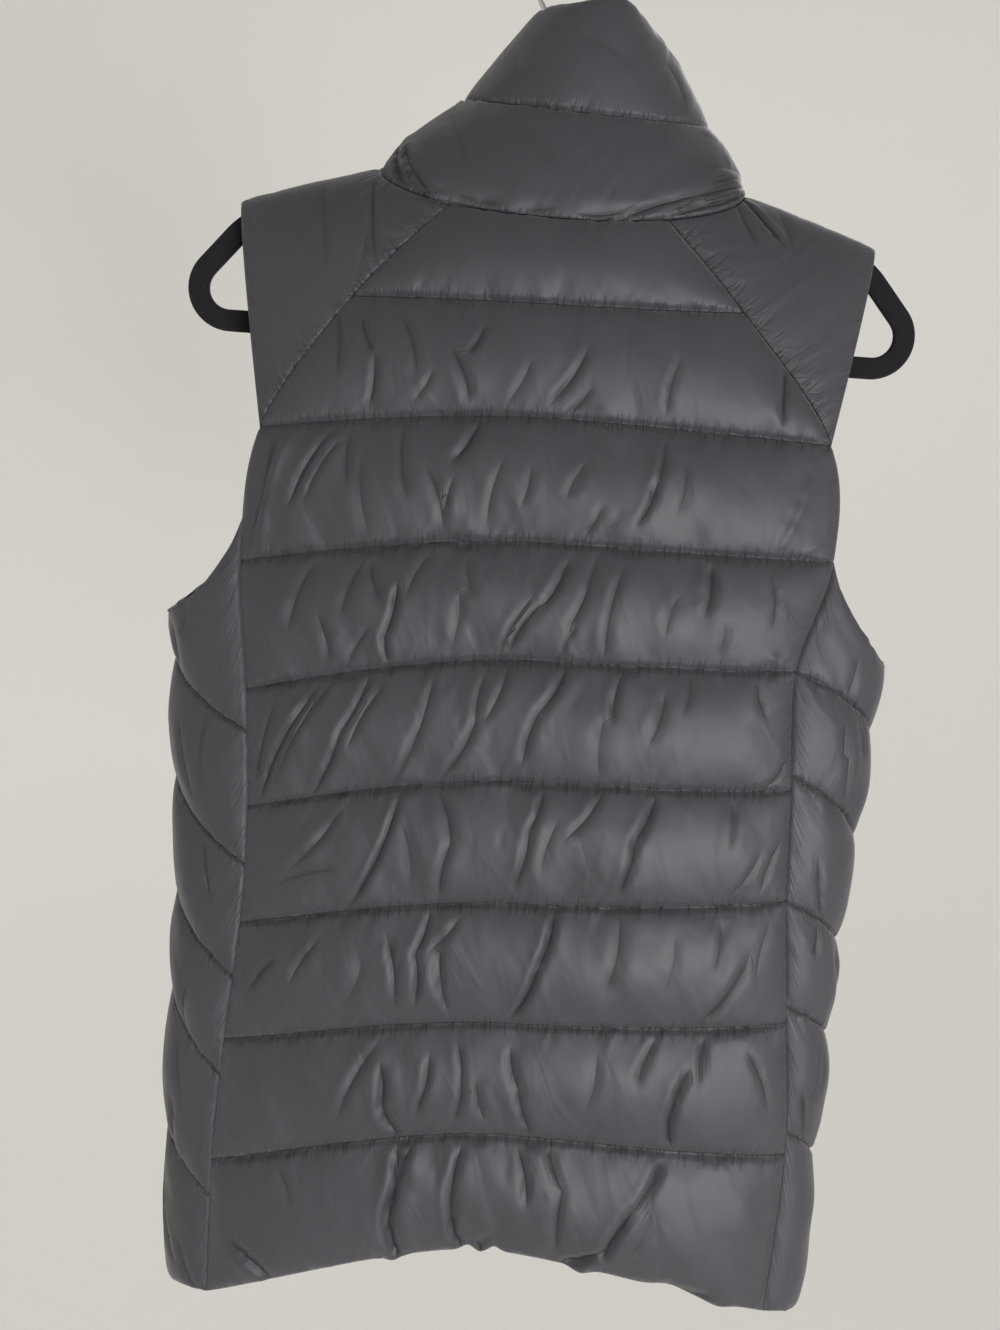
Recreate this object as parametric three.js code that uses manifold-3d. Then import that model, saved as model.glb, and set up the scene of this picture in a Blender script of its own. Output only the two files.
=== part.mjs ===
// A padded (puffer) vest with a funnel collar, hanging closed on a slim flocked hanger.
// Millimetres, +Z up. The vest's front faces -Y, so the wearer's left is +X. The origin is the inside top
// of the hanger's hook, where a rail carries it.
import * as THREE from "three";
import { mergeVertices } from "three/addons/utils/BufferGeometryUtils.js";
import Module from "manifold-3d";

const wasm = await Module();
wasm.setup();

// ---- Driving dimensions ----

const SEAM_GAP = 0.5; // between the walls of two pieces sewn together
const SEAM_HALF = 1.3; // half the wall's thickness where a seam or quilt line pinches it
const PUFF_OUT = 8.5; // how far a full channel swells outwards from the middle of the wall
const PUFF_IN = 5; // and inwards

// The smooth yokes are padded thinly and evenly. Their length is from the neck to the armhole, and their
// drop from the ridge to a seam; the inset is a share of that drop.
const YOKE = { half: 2.4, length: 90, drop: 120, inset: 0.0015 };

const EDGE_RISE = 26; // width over which a channel swells from a seam
const CHANNEL_STEPS = [0, 0.14, 0.5, 0.86]; // places across a channel that carry its swell
const SIDE_STEPS = [0, 0.14, 0.32, 0.5, 0.68, 0.86]; // the same where a channel bends as well
const CHANNEL_POWER = 0.55; // under 1, so that a channel is full in the middle and steep at its lines

// Shoulders: the ridge runs straight from the neck to the tip, over the hanger's arms.
const NECK = { half: 108, side: -132, back: -159, front: -204 };
const SHOULDER = { tip: 190, fall: 0.3, ramp: 60 };

// The body is a flattened tube: half width on each side, and depth behind and before the hanger.
const SECTION_POWER = 2.6;
const BOW = 1.5; // how late along its length a quilt line bends towards its end
const LEVEL_TOP = -100;
const LEVEL_STEP = -120;
const LEVELS = [
  { left: 214, right: 214, back: 38, front: 40 },
  { left: 214, right: 214, back: 42, front: 45 },
  { left: 215, right: 216, back: 45, front: 49 },
  { left: 211, right: 213, back: 48, front: 52 },
  { left: 203, right: 206, back: 49, front: 53 },
  { left: 203, right: 206, back: 49, front: 52 },
  { left: 197, right: 204, back: 48, front: 50 },
  { left: 190, right: 200, back: 46, front: 48 },
];

// Quilt lines of the back from the neck to the hem: height at the middle, each end's height above that,
// and each end's reach from the middle.
const BACK_LINES = [
  { mid: -159, riseLeft: 5, riseRight: 5, reachLeft: 64, reachRight: 62 },
  { mid: -208, riseLeft: -3, riseRight: 4, reachLeft: 116, reachRight: 110 },
  { mid: -273, riseLeft: -17, riseRight: -3, reachLeft: 166, reachRight: 169 },
  { mid: -345, riseLeft: -24, riseRight: 1, reachLeft: 173, reachRight: 177 },
  { mid: -414, riseLeft: -31, riseRight: 4, reachLeft: 165, reachRight: 160 },
  { mid: -486, riseLeft: -30, riseRight: 4, reachLeft: 160, reachRight: 164 },
  { mid: -560, riseLeft: -28, riseRight: 10, reachLeft: 161, reachRight: 168 },
  { mid: -634, riseLeft: -29, riseRight: 7, reachLeft: 167, reachRight: 176 },
  { mid: -704, riseLeft: -38, riseRight: -9, reachLeft: 171, reachRight: 184 },
  { mid: -778, riseLeft: -52, riseRight: -38, reachLeft: 170, reachRight: 180 },
];

// Quilt lines of each front, the same on both sides.
const FRONT_LINES = [
  { mid: -204, rise: 26, reach: 80 },
  { mid: -246, rise: 12, reach: 128 },
  { mid: -300, rise: 9, reach: 166 },
  { mid: -365, rise: 20, reach: 176 },
  { mid: -436, rise: 6, reach: 181 },
  { mid: -507, rise: 4, reach: 178 },
  { mid: -578, rise: 2, reach: 175 },
  { mid: -649, rise: 0, reach: 175 },
  { mid: -720, rise: -8, reach: 176 },
  { mid: -812, rise: -29, reach: 174 },
];

// Quilt lines of the side panels: where each meets the back's edge and the front's edge, counted in the
// lines of those. The armhole edge, the first row, dips to the underarm between them.
const UNDERARM_DIP = 66;
const UNDERARM_ROUND = 0.7; // under 1, so that the edge falls steeply from both seams
const SIDE_WIDTH = 90;
const SIDE_LINES = {
  left: [
    { back: 2.68, front: 3 },
    { back: 4.35, front: 3.55 },
    { back: 5.5, front: 4.35 },
    { back: 6.47, front: 5.3 },
    { back: 7.3, front: 6.1 },
    { back: 8.26, front: 7.4 },
    { back: 9, front: 9 },
  ],
  right: [
    { back: 3, front: 3 },
    { back: 4, front: 4.7 },
    { back: 4.86, front: 5.7 },
    { back: 6, front: 6.5 },
    { back: 6.87, front: 7.3 },
    { back: 7.84, front: 8.2 },
    { back: 9, front: 9 },
  ],
};

const INSET = SEAM_GAP / 2; // of each piece's edge from the seam's line
const LINES = BACK_LINES.length - 1; // channels from neck to hem
const NECK_ROW = 0.02; // the first row lies this share of a channel below the neck seam

// Collar: its two channels lie between the neck seam, this ring and the top ring.
const COLLAR_LIFT = 1.8; // clearance of its lower edge above the neck seam
const COLLAR_PUFF = { out: 6, in: 4.5 };
const COLLAR_RINGS = [
  { x: -10, y: -28, halfX: 86, halfY: 47, back: -91, side: -101, front: -130, slit: 0.089 },
  { x: -13, y: -54, halfX: 41, halfY: 68, back: -32, side: -38, front: -58, slit: 0.18 },
];
const COLLAR_BASE_SLIT = 0.048;

// Zip, closed from the hem to the top of the collar.
const ZIP = { slot: 7, gap: 0.8, edge: 6.6, half: 0.7 };
const SLIDER = { width: 9, height: 12, plate: 1.8, stand: 1.2, at: 1.86 };
const BAIL = { width: 1.4, thick: 1.2, reach: 3.6, legs: 4.6 };
const PULL = { width: 7, thick: 1.2, length: 30, eye: 6.6, eyeWidth: 3.2, bar: 1.4 };

// Hanger: a flat strip bent into a loop, its long side the bar, its ends clear of the armholes.
const HANGER = { strip: 13, thick: 5.2, tip: 184, corner: 236, bar: -225.5, tipRound: 46, cornerRound: 19 };
const HANGER_REST = 0.25; // clearance of the arms' middle under the yokes' ridge, whose sides lie closer
const ARM_FALL = 0.24; // the arms slope less than the shoulders, so the yokes rest near their tips
const STEM_GAP = 0.3;
const HOOK = { wire: 3.4, radius: 20, neckTop: -86, neckWidth: 16 };

// ---- Rows of a table, read smoothly ----

// The value of a column at row `at`, which may lie between rows.
function column(rows, name, at) {
  const last = rows.length - 1;
  const i = Math.min(Math.max(Math.floor(at), 0), last - 1);
  const t = at - i;
  const value = (k) => rows[Math.min(Math.max(k, 0), last)][name];
  const [p, a, b, n] = [value(i - 1), value(i), value(i + 1), value(i + 2)];
  return a + 0.5 * t * (b - p + t * (2 * p - 5 * a + 4 * b - n + t * (3 * (a - b) + n - p)));
}

const mix = (a, b, t) => a + (b - a) * t;

// ---- The vest's form ----

const levelAt = (z) => (z - LEVEL_TOP) / LEVEL_STEP;
const halfWidth = (x, z) => column(LEVELS, x < 0 ? "right" : "left", levelAt(z));
const ridgeHeight = (x) => NECK.side - SHOULDER.fall * (Math.abs(x) - NECK.half);

// How far the shoulder ridge has opened into the full tube at this place.
function opened(x, z) {
  const below = Math.max(ridgeHeight(x) - z, 0);
  return Math.sqrt(1 - Math.exp(-below / SHOULDER.ramp));
}

// A point of the body at x and height z, on its back (1) or front (-1).
function bodyPoint(x, z, side) {
  const share = Math.min(Math.abs(x) / halfWidth(x, z), 1);
  const flat = Math.pow(1 - Math.pow(share, SECTION_POWER), 1 / SECTION_POWER);
  const depth = column(LEVELS, side > 0 ? "back" : "front", levelAt(z));
  return new THREE.Vector3(x, side * depth * flat * opened(x, z), z);
}

// Height of the neck seam above x on the back or front.
function neckHeight(x, side) {
  const c = Math.sqrt(Math.max(1 - (x / NECK.half) ** 2, 0));
  return mix(NECK.side, side > 0 ? NECK.back : NECK.front, c);
}

// A place on the back panel: u runs from the right edge (-1) to the left (1), v counts quilt lines.
function backPlace(u, v) {
  const end = u < 0 ? "Right" : "Left";
  const x = u * column(BACK_LINES, "reach" + end, v);
  const bend = Math.abs(u) ** BOW;
  const row = (at) => column(BACK_LINES, "mid", at) + column(BACK_LINES, "rise" + end, at) * bend;
  const neckX = u * column(BACK_LINES, "reach" + end, 0);
  const toNeck = Math.max(1 - v, 0) ** 2 * (neckHeight(neckX, 1) - row(0));
  return { x, z: row(v) + toNeck };
}

// A place on a front panel: u runs from the zip (0) to the side (1).
function frontPlace(hand, u, v) {
  const x = mix(ZIP.slot, column(FRONT_LINES, "reach", v), u);
  const row = (at) => column(FRONT_LINES, "mid", at) + column(FRONT_LINES, "rise", at) * u ** BOW;
  const neckX = mix(ZIP.slot, FRONT_LINES[0].reach, u);
  const toNeck = Math.max(1 - v, 0) ** 2 * (neckHeight(neckX, -1) - row(0));
  return { x: hand * x, z: row(v) + toNeck };
}

// ---- Padded walls ----

// A closed wall about the surface `point(u, v)`: `thickness(u, v)` gives how far it reaches out and in.
// us and vs are the grid's places. `turn` is 1 or -1, whichever makes the surface's normal face out.
function wall(point, thickness, us, vs, turn) {
  const positions = [];
  const step = 1e-4;
  const inward = (at, list) => (at + step > Math.max(...list) ? -step : step);
  for (const v of vs) {
    for (const u of us) {
      const p = point(u, v);
      const du = inward(u, us);
      const dv = inward(v, vs);
      const alongU = point(u + du, v).sub(p).multiplyScalar(Math.sign(du));
      const alongV = point(u, v + dv).sub(p).multiplyScalar(Math.sign(dv));
      const normal = alongU.cross(alongV).normalize().multiplyScalar(turn);
      const { out, inner } = thickness(u, v);
      positions.push(...p.clone().addScaledVector(normal, out));
      positions.push(...p.clone().addScaledVector(normal, -inner));
    }
  }
  const at = (i, j, layer) => 2 * (j * us.length + i) + layer;
  const triangles = [];
  const quad = (a, b, c, d) => triangles.push(a, b, c, a, c, d);
  const [lastU, lastV] = [us.length - 1, vs.length - 1];
  for (let j = 0; j < lastV; j++) {
    for (let i = 0; i < lastU; i++) {
      quad(at(i, j, 0), at(i + 1, j, 0), at(i + 1, j + 1, 0), at(i, j + 1, 0));
      quad(at(i, j, 1), at(i, j + 1, 1), at(i + 1, j + 1, 1), at(i + 1, j, 1));
    }
  }
  for (let i = 0; i < lastU; i++) {
    quad(at(i, 0, 0), at(i, 0, 1), at(i + 1, 0, 1), at(i + 1, 0, 0));
    quad(at(i, lastV, 1), at(i, lastV, 0), at(i + 1, lastV, 0), at(i + 1, lastV, 1));
  }
  for (let j = 0; j < lastV; j++) {
    quad(at(0, j, 1), at(0, j, 0), at(0, j + 1, 0), at(0, j + 1, 1));
    quad(at(lastU, j, 0), at(lastU, j, 1), at(lastU, j + 1, 1), at(lastU, j + 1, 0));
  }
  return closedGeometry(positions, turn > 0 ? triangles : triangles.reverse());
}

function closedGeometry(positions, triangles) {
  const geometry = new THREE.BufferGeometry();
  geometry.setAttribute("position", new THREE.Float32BufferAttribute(positions, 3));
  geometry.setIndex(triangles);
  return geometry;
}

// Rows of a quilted wall: each channel's lines and the places between them.
function channelRows(first, last, steps = CHANNEL_STEPS) {
  const rows = [first];
  for (let line = Math.floor(first); line < last; line++) {
    for (const step of steps) {
      if (line + step > first + 0.05) rows.push(line + step);
    }
  }
  rows.push(last);
  return rows;
}

// Evenly spaced places from a to b, or closer together towards both ends.
function spread(a, b, count) {
  return Array.from({ length: count + 1 }, (_, i) => mix(a, b, i / count));
}

function spreadToEnds(a, b, count) {
  return Array.from({ length: count + 1 }, (_, i) => {
    const t = i / count;
    return mix(a, b, mix(t, 0.5 - 0.5 * Math.cos(Math.PI * t), 0.7));
  });
}

// Swell of a channel at row v, 0 at its lines and 1 in its middle.
function swell(v) {
  const t = v - Math.floor(v);
  return Math.pow(Math.max(4 * t * (1 - t), 0), CHANNEL_POWER);
}

// Share of the swell at this distance from the panel's nearest seam.
const fromSeam = (distance) => Math.sqrt(Math.min(Math.max(distance, 0) / EDGE_RISE, 1));

function padding(v, seamDistance, puff = { out: PUFF_OUT, in: PUFF_IN }) {
  const share = swell(v) * fromSeam(seamDistance);
  return { out: SEAM_HALF + puff.out * share, inner: SEAM_HALF + puff.in * share };
}

// ---- Panels ----

const root = new THREE.Group();
const SHELL = { color: 0x3d3e42, roughness: 0.55, metalness: 0 };
const FLOCK = { color: 0x15161a, roughness: 0.95, metalness: 0 };
const ZIP_TAPE = { color: 0x222327, roughness: 0.8, metalness: 0 };
const METAL = { color: 0x2a2b2e, roughness: 0.35, metalness: 0.9 };
const STEEL = { color: 0xc8cacc, roughness: 0.2, metalness: 1 };

function addMesh(parent, name, geometry, finish) {
  const mesh = new THREE.Mesh(geometry, new THREE.MeshStandardMaterial(finish));
  mesh.name = name;
  parent.add(mesh);
  return mesh;
}


function backPanel() {
  const point = (u, v) => {
    const { x, z } = backPlace(u, v);
    return bodyPoint(x - INSET * u, z, 1);
  };
  const thickness = (u, v) => {
    const reach = column(BACK_LINES, u < 0 ? "reachRight" : "reachLeft", v);
    return padding(v, (1 - Math.abs(u)) * reach);
  };
  return wall(point, thickness, spreadToEnds(-1, 1, 16), channelRows(NECK_ROW, LINES), 1);
}

function frontPanel(hand) {
  const point = (u, v) => {
    const { x, z } = frontPlace(hand, u, v);
    return bodyPoint(x - hand * INSET * u, z, -1);
  };
  const thickness = (u, v) => {
    const width = column(FRONT_LINES, "reach", v) - ZIP.slot;
    return padding(v, Math.min(u, 1 - u) * width);
  };
  return wall(point, thickness, spreadToEnds(0, 1, 8), channelRows(NECK_ROW, LINES), -hand);
}

// The side panel turns round the side of the tube from the back's edge (u = 0) to the front's (u = 1).
function sidePanel(hand, name) {
  const lines = SIDE_LINES[name];
  const turnAt = (x, z) => Math.asin(Math.pow(Math.min(Math.abs(x) / halfWidth(x, z), 1), SECTION_POWER / 2));
  const point = (u, v) => {
    const back = backPlace(hand, column(lines, "back", v));
    const front = frontPlace(hand, 1, column(lines, "front", v));
    const dip = UNDERARM_DIP * Math.max(1 - v, 0) ** 1.5 * Math.sin(Math.PI * u) ** UNDERARM_ROUND;
    const z = mix(back.z, front.z, u) - dip;
    const angle = mix(turnAt(back.x, back.z), Math.PI - turnAt(front.x, front.z), u);
    const half = halfWidth(hand, z);
    const x = hand * half * Math.pow(Math.sin(angle), 2 / SECTION_POWER);
    const cosine = Math.cos(angle);
    const depth = column(LEVELS, cosine > 0 ? "back" : "front", levelAt(z));
    const y = Math.sign(cosine) * depth * Math.pow(Math.abs(cosine), 2 / SECTION_POWER) * opened(x, z);
    return new THREE.Vector3(x, y, z);
  };
  const thickness = (u, v) => padding(v, Math.min(u, 1 - u) * SIDE_WIDTH);
  const edge = INSET / SIDE_WIDTH;
  const rows = channelRows(0, lines.length - 1, SIDE_STEPS);
  return wall(point, thickness, spreadToEnds(edge, 1 - edge, 6), rows, hand);
}

// A yoke runs over the shoulder from the back's seam (w = 1) to the front's (w = -1), and from the neck
// (q = 0) to the armhole (q = 1).
function yoke(hand) {
  const point = (q, w) => {
    const side = w < 0 ? -1 : 1;
    const share = w * w;
    const ridge = (at) => {
      const x = mix(NECK.half, SHOULDER.tip, at);
      return { x, z: ridgeHeight(x) };
    };
    const seam = (at) => (side > 0 ? backPlace(hand, 2 * at) : frontPlace(hand, 1, 2 * at));
    const straight = (at) => ({
      x: mix(ridge(at).x, Math.abs(seam(at).x), share),
      z: mix(ridge(at).z, seam(at).z, share),
    });
    const c = share * Math.sqrt(1 - (seam(0).x / NECK.half) ** 2);
    const neckX = NECK.half * Math.sqrt(1 - c * c);
    const neckZ = mix(NECK.side, side > 0 ? NECK.back : NECK.front, c);
    const fade = (1 - q) ** 2;
    const { x, z } = straight(q);
    const atX = x + fade * (neckX - straight(0).x);
    const atZ = z + fade * (neckZ - straight(0).z);
    return bodyPoint(hand * atX, atZ, side);
  };
  const thickness = (q, w) => {
    const distance = Math.min(q * YOKE.length, (1 - q) * YOKE.length, (1 - Math.abs(w)) * YOKE.drop);
    const half = mix(SEAM_HALF, YOKE.half, fromSeam(distance));
    return { out: half, inner: half };
  };
  const rows = channelRows(NECK_ROW, 2).map((v) => v / 2);
  return wall(point, thickness, rows, spread(-1 + YOKE.inset, 1 - YOKE.inset, 14), hand);
}

// The collar's middle surface: s runs from one edge of the zip slot round the back (0) to the other.
function collarPoint(s, v) {
  const slit = v < 1 ? mix(COLLAR_BASE_SLIT, COLLAR_RINGS[0].slit, v)
    : mix(COLLAR_RINGS[0].slit, COLLAR_RINGS[1].slit, v - 1);
  const angle = s * (Math.PI - slit);
  const cosine = Math.cos(angle);
  const side = cosine < 0 ? -1 : 1;
  const c = cosine * cosine;
  const baseX = NECK.half * Math.sqrt(1 - c * c) * Math.sign(Math.sin(angle));
  const base = bodyPoint(baseX, mix(NECK.side, side > 0 ? NECK.back : NECK.front, c), side);
  base.z += COLLAR_LIFT;
  const [middle, top] = COLLAR_RINGS.map((ring) => new THREE.Vector3(
    ring.x + ring.halfX * Math.sin(angle),
    ring.y + ring.halfY * cosine,
    mix(ring.side, side > 0 ? ring.back : ring.front, c),
  ));
  const rows = ["x", "y", "z"].map((axis) => [base, middle, top].map((p) => ({ value: p[axis] })));
  return new THREE.Vector3(...rows.map((row) => column(row, "value", v)));
}

function collar() {
  const thickness = (s, v) => padding(v, (1 - Math.abs(s)) * 200, COLLAR_PUFF);
  return wall(collarPoint, thickness, spreadToEnds(-1, 1, 36), channelRows(0, 2), 1);
}

// Middle of the zip at row v: the front's rows up to its neck, then the collar's.
function zipPoint(v) {
  if (v <= LINES) {
    const z = column(FRONT_LINES, "mid", LINES - v);
    return bodyPoint(0, z, -1);
  }
  const across = collarPoint(1, v - LINES).add(collarPoint(-1, v - LINES));
  return across.multiplyScalar(0.5);
}

function zipTape(hand) {
  const point = (u, v) => {
    const p = zipPoint(v);
    p.x += hand * mix(ZIP.gap, ZIP.edge, u);
    return p;
  };
  const thickness = () => ({ out: ZIP.half, inner: ZIP.half });
  const body = spread(0, LINES, 3 * LINES);
  const neck = spread(LINES, LINES + 2, 10).slice(1);
  return wall(point, thickness, [0, 1], [...body, ...neck], hand);
}

// ---- Hard pieces ----

function toSolid(geometry) {
  const bare = geometry.index ? geometry.toNonIndexed() : geometry.clone();
  bare.deleteAttribute("normal");
  bare.deleteAttribute("uv");
  const merged = mergeVertices(bare, 1e-4);
  return new wasm.Manifold(new wasm.Mesh({
    numProp: 3,
    vertProperties: merged.attributes.position.array,
    triVerts: new Uint32Array(merged.index.array),
  }));
}

function joined(geometries) {
  const solids = geometries.map(toSolid);
  const mesh = solids.reduce((all, one) => all.add(one)).getMesh();
  return closedGeometry(mesh.vertProperties, [...mesh.triVerts]);
}

function block(x, y, z, sizeX, sizeY, sizeZ) {
  return new THREE.BoxGeometry(sizeX, sizeY, sizeZ).translate(x, y, z);
}

// A closed or capped tube of the given section (in the plane of normal and binormal) along a path.
function swept(path, section, closed) {
  const count = path.length;
  const positions = [];
  path.forEach((p, i) => {
    const before = path[closed ? (i + count - 1) % count : Math.max(i - 1, 0)];
    const after = path[closed ? (i + 1) % count : Math.min(i + 1, count - 1)];
    const tangent = after.clone().sub(before).normalize();
    const normal = new THREE.Vector3(tangent.z, 0, -tangent.x);
    for (const [across, deep] of section) {
      positions.push(p.x + normal.x * across, p.y + deep, p.z + normal.z * across);
    }
  });
  const sides = section.length;
  const triangles = [];
  const rings = closed ? count : count - 1;
  for (let i = 0; i < rings; i++) {
    for (let k = 0; k < sides; k++) {
      const [a, b] = [i * sides + k, i * sides + ((k + 1) % sides)];
      const [c, d] = [((i + 1) % count) * sides + k, ((i + 1) % count) * sides + ((k + 1) % sides)];
      triangles.push(a, b, d, a, d, c);
    }
  }
  if (!closed) {
    const lastRing = (count - 1) * sides;
    for (let k = 1; k < sides - 1; k++) {
      triangles.push(0, k + 1, k, lastRing, lastRing + k, lastRing + k + 1);
    }
  }
  return closedGeometry(positions, triangles);
}

// A polygon's outline with each corner rounded by its own radius, as points.
function roundedLoop(corners, stepsPerCorner) {
  const points = [];
  corners.forEach((corner, i) => {
    const before = corners[(i + corners.length - 1) % corners.length];
    const after = corners[(i + 1) % corners.length];
    const toBefore = new THREE.Vector2(before.x - corner.x, before.z - corner.z).normalize();
    const toAfter = new THREE.Vector2(after.x - corner.x, after.z - corner.z).normalize();
    const halfAngle = Math.acos(THREE.MathUtils.clamp(toBefore.dot(toAfter), -1, 1)) / 2;
    const tangent = corner.round / Math.tan(halfAngle);
    const bisector = toBefore.clone().add(toAfter).normalize();
    const centre = new THREE.Vector2(corner.x, corner.z)
      .addScaledVector(bisector, corner.round / Math.sin(halfAngle));
    const from = new THREE.Vector2(corner.x, corner.z).addScaledVector(toBefore, tangent).sub(centre);
    const to = new THREE.Vector2(corner.x, corner.z).addScaledVector(toAfter, tangent).sub(centre);
    const start = from.angle();
    let sweep = to.angle() - start;
    if (sweep > Math.PI) sweep -= 2 * Math.PI;
    if (sweep < -Math.PI) sweep += 2 * Math.PI;
    for (let k = 0; k <= stepsPerCorner; k++) {
      const angle = start + (sweep * k) / stepsPerCorner;
      points.push(new THREE.Vector3(
        centre.x + corner.round * Math.cos(angle), 0, centre.y + corner.round * Math.sin(angle),
      ));
    }
  });
  return points;
}

function hangerBody() {
  const armDrop = YOKE.half + HANGER_REST + HANGER.strip / 2;
  const tipHeight = ridgeHeight(HANGER.tip) - armDrop * Math.hypot(1, ARM_FALL);
  const armHeight = (x) => tipHeight + ARM_FALL * (HANGER.tip - x);
  const crest = { x: 0, z: armHeight(0), round: 60 };
  const tip = (hand) => ({ x: hand * HANGER.tip, z: armHeight(HANGER.tip), round: HANGER.tipRound });
  const corner = (hand) => ({ x: hand * HANGER.corner, z: HANGER.bar, round: HANGER.cornerRound });
  const loop = roundedLoop([crest, tip(1), corner(1), corner(-1), tip(-1)], 8);
  const [h, t] = [HANGER.strip / 2, HANGER.thick / 2];
  const soft = 1.2;
  const section = [
    [-h, -t + soft], [-h + soft, -t], [h - soft, -t], [h, -t + soft],
    [h, t - soft], [h - soft, t], [-h + soft, t], [-h, t - soft],
  ];
  const neckBottom = crest.z;
  const rise = HOOK.neckTop - neckBottom;
  const neck = block(0, 0, neckBottom + rise / 2, HOOK.neckWidth, HANGER.thick, rise);
  return joined([swept(loop, section, true), neck]);
}

function hook() {
  const reach = HOOK.radius + HOOK.wire / 2;
  const centre = -HOOK.radius;
  const path = [
    new THREE.Vector3(0, 0, HOOK.neckTop + STEM_GAP),
    new THREE.Vector3(0, 0, centre - reach - 22),
    new THREE.Vector3(-5, 0, centre - reach - 4),
    new THREE.Vector3(-15, 0, centre - reach + 6),
  ];
  const turns = 14;
  for (let i = 0; i <= turns; i++) {
    const angle = Math.PI * mix(1.08, -0.22, i / turns);
    path.push(new THREE.Vector3(reach * Math.cos(angle), 0, centre + reach * Math.sin(angle)));
  }
  const smooth = new THREE.CatmullRomCurve3(path).getPoints(34);
  const sides = 8;
  const section = Array.from({ length: sides }, (_, k) => {
    const angle = (2 * Math.PI * k) / sides;
    return [(HOOK.wire / 2) * Math.cos(angle), (HOOK.wire / 2) * Math.sin(angle)];
  });
  return swept(smooth, section, false);
}

// The slider's own frame: x across the zip, z up along it and -y away from the cloth.
function sliderFrame() {
  const at = zipPoint(LINES + SLIDER.at);
  const along = zipPoint(LINES + SLIDER.at + 0.02).sub(zipPoint(LINES + SLIDER.at - 0.02));
  const group = new THREE.Group();
  group.position.copy(at);
  group.rotation.x = Math.atan2(-along.y, along.z);
  root.add(group);
  group.updateMatrixWorld(true);
  return group;
}

const PLATE_FACE = -(ZIP.half + SLIDER.stand + SLIDER.plate); // the front plate's outer face
const BAR_DEPTH = PLATE_FACE - (BAIL.reach - BAIL.thick) / 2; // the pull's crossbar, between plate and bail
const BAR_HEIGHT = 1.5;

function slider() {
  const { width, height, plate, stand } = SLIDER;
  const face = ZIP.half + stand + plate / 2;
  const front = block(0, -face, 0, width, plate, height);
  const back = block(0, face, 0, width, plate, height);
  const neck = block(0, 0, height / 2 - 2, ZIP.gap * 1.2, 2 * face, 3);
  const outer = PLATE_FACE - BAIL.reach;
  const arch = block(0, outer + BAIL.thick / 2, 0, BAIL.width, BAIL.thick, 2 * BAIL.legs + 2 * BAIL.thick);
  const leg = (end) => block(
    0, (PLATE_FACE + outer) / 2 + 0.2, end * (BAIL.legs + BAIL.thick / 2), BAIL.width, BAIL.reach, BAIL.thick,
  );
  return joined([front, back, neck, arch, leg(1), leg(-1)]);
}

// The pull hangs plumb from its crossbar: a plate with an eye that the bail passes through.
function pull() {
  const outline = new THREE.Shape();
  const [w, top, end] = [PULL.width / 2, PULL.bar / 2, PULL.length];
  outline.moveTo(-w, top).lineTo(-w, -end + w);
  outline.absarc(0, -end + w, w, Math.PI, 2 * Math.PI, false);
  outline.lineTo(w, top);
  const eye = new THREE.Path();
  const e = PULL.eyeWidth / 2;
  eye.moveTo(-e, -PULL.bar / 2).lineTo(e, -PULL.bar / 2).lineTo(e, -PULL.eye - PULL.bar / 2);
  eye.lineTo(-e, -PULL.eye - PULL.bar / 2);
  outline.holes.push(eye);
  const cut = { depth: PULL.thick, bevelEnabled: false, curveSegments: 8 };
  const plate = new THREE.ExtrudeGeometry(outline, cut);
  return plate.translate(0, 0, -PULL.thick / 2).rotateX(Math.PI / 2);
}

// ---- Assembly ----

addMesh(root, "back_panel", backPanel(), SHELL);
for (const [name, hand] of [["left", 1], ["right", -1]]) {
  addMesh(root, "front_" + name, frontPanel(hand), SHELL);
  addMesh(root, "side_" + name, sidePanel(hand, name), SHELL);
  addMesh(root, "yoke_" + name, yoke(hand), SHELL);
  addMesh(root, "zip_tape_" + name, zipTape(hand), ZIP_TAPE);
}
addMesh(root, "collar", collar(), SHELL);
addMesh(root, "hanger_body", hangerBody(), FLOCK);
addMesh(root, "hanger_hook", hook(), STEEL);

const sliderGroup = sliderFrame();
addMesh(sliderGroup, "zip_slider", slider(), METAL);
const hinge = new THREE.Vector3(0, BAR_DEPTH, BAR_HEIGHT).applyMatrix4(sliderGroup.matrixWorld);
const pullMesh = addMesh(root, "zip_pull", pull(), METAL);
pullMesh.position.copy(hinge);

export default root;
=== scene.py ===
import math

import bmesh
import bpy
import numpy as np
from mathutils import Matrix, Vector


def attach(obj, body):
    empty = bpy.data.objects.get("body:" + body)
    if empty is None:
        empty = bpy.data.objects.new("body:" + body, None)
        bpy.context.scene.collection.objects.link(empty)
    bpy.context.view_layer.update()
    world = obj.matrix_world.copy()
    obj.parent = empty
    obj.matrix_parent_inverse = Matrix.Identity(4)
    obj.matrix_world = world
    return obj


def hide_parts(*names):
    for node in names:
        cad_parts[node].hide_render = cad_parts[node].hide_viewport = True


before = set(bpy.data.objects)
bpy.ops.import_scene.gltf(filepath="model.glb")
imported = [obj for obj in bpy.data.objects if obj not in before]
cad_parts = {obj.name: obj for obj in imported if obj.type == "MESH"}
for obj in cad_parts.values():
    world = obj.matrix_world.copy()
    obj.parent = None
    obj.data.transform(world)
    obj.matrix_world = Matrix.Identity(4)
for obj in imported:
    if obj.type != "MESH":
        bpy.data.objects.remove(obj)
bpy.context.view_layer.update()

# Camera, room and light. The vest hangs in a pale bowl-shaped room, seen from behind its back by a camera
# tipped down and rolled a little, with a wide soft light low behind the camera.
TIP, ROLL = math.radians(6.0), math.radians(4.3)
ahead = Vector((0, -math.cos(TIP), -math.sin(TIP)))
level = Vector((-1, 0, 0))
upright = Vector((0, -math.sin(TIP), math.cos(TIP)))
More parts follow.
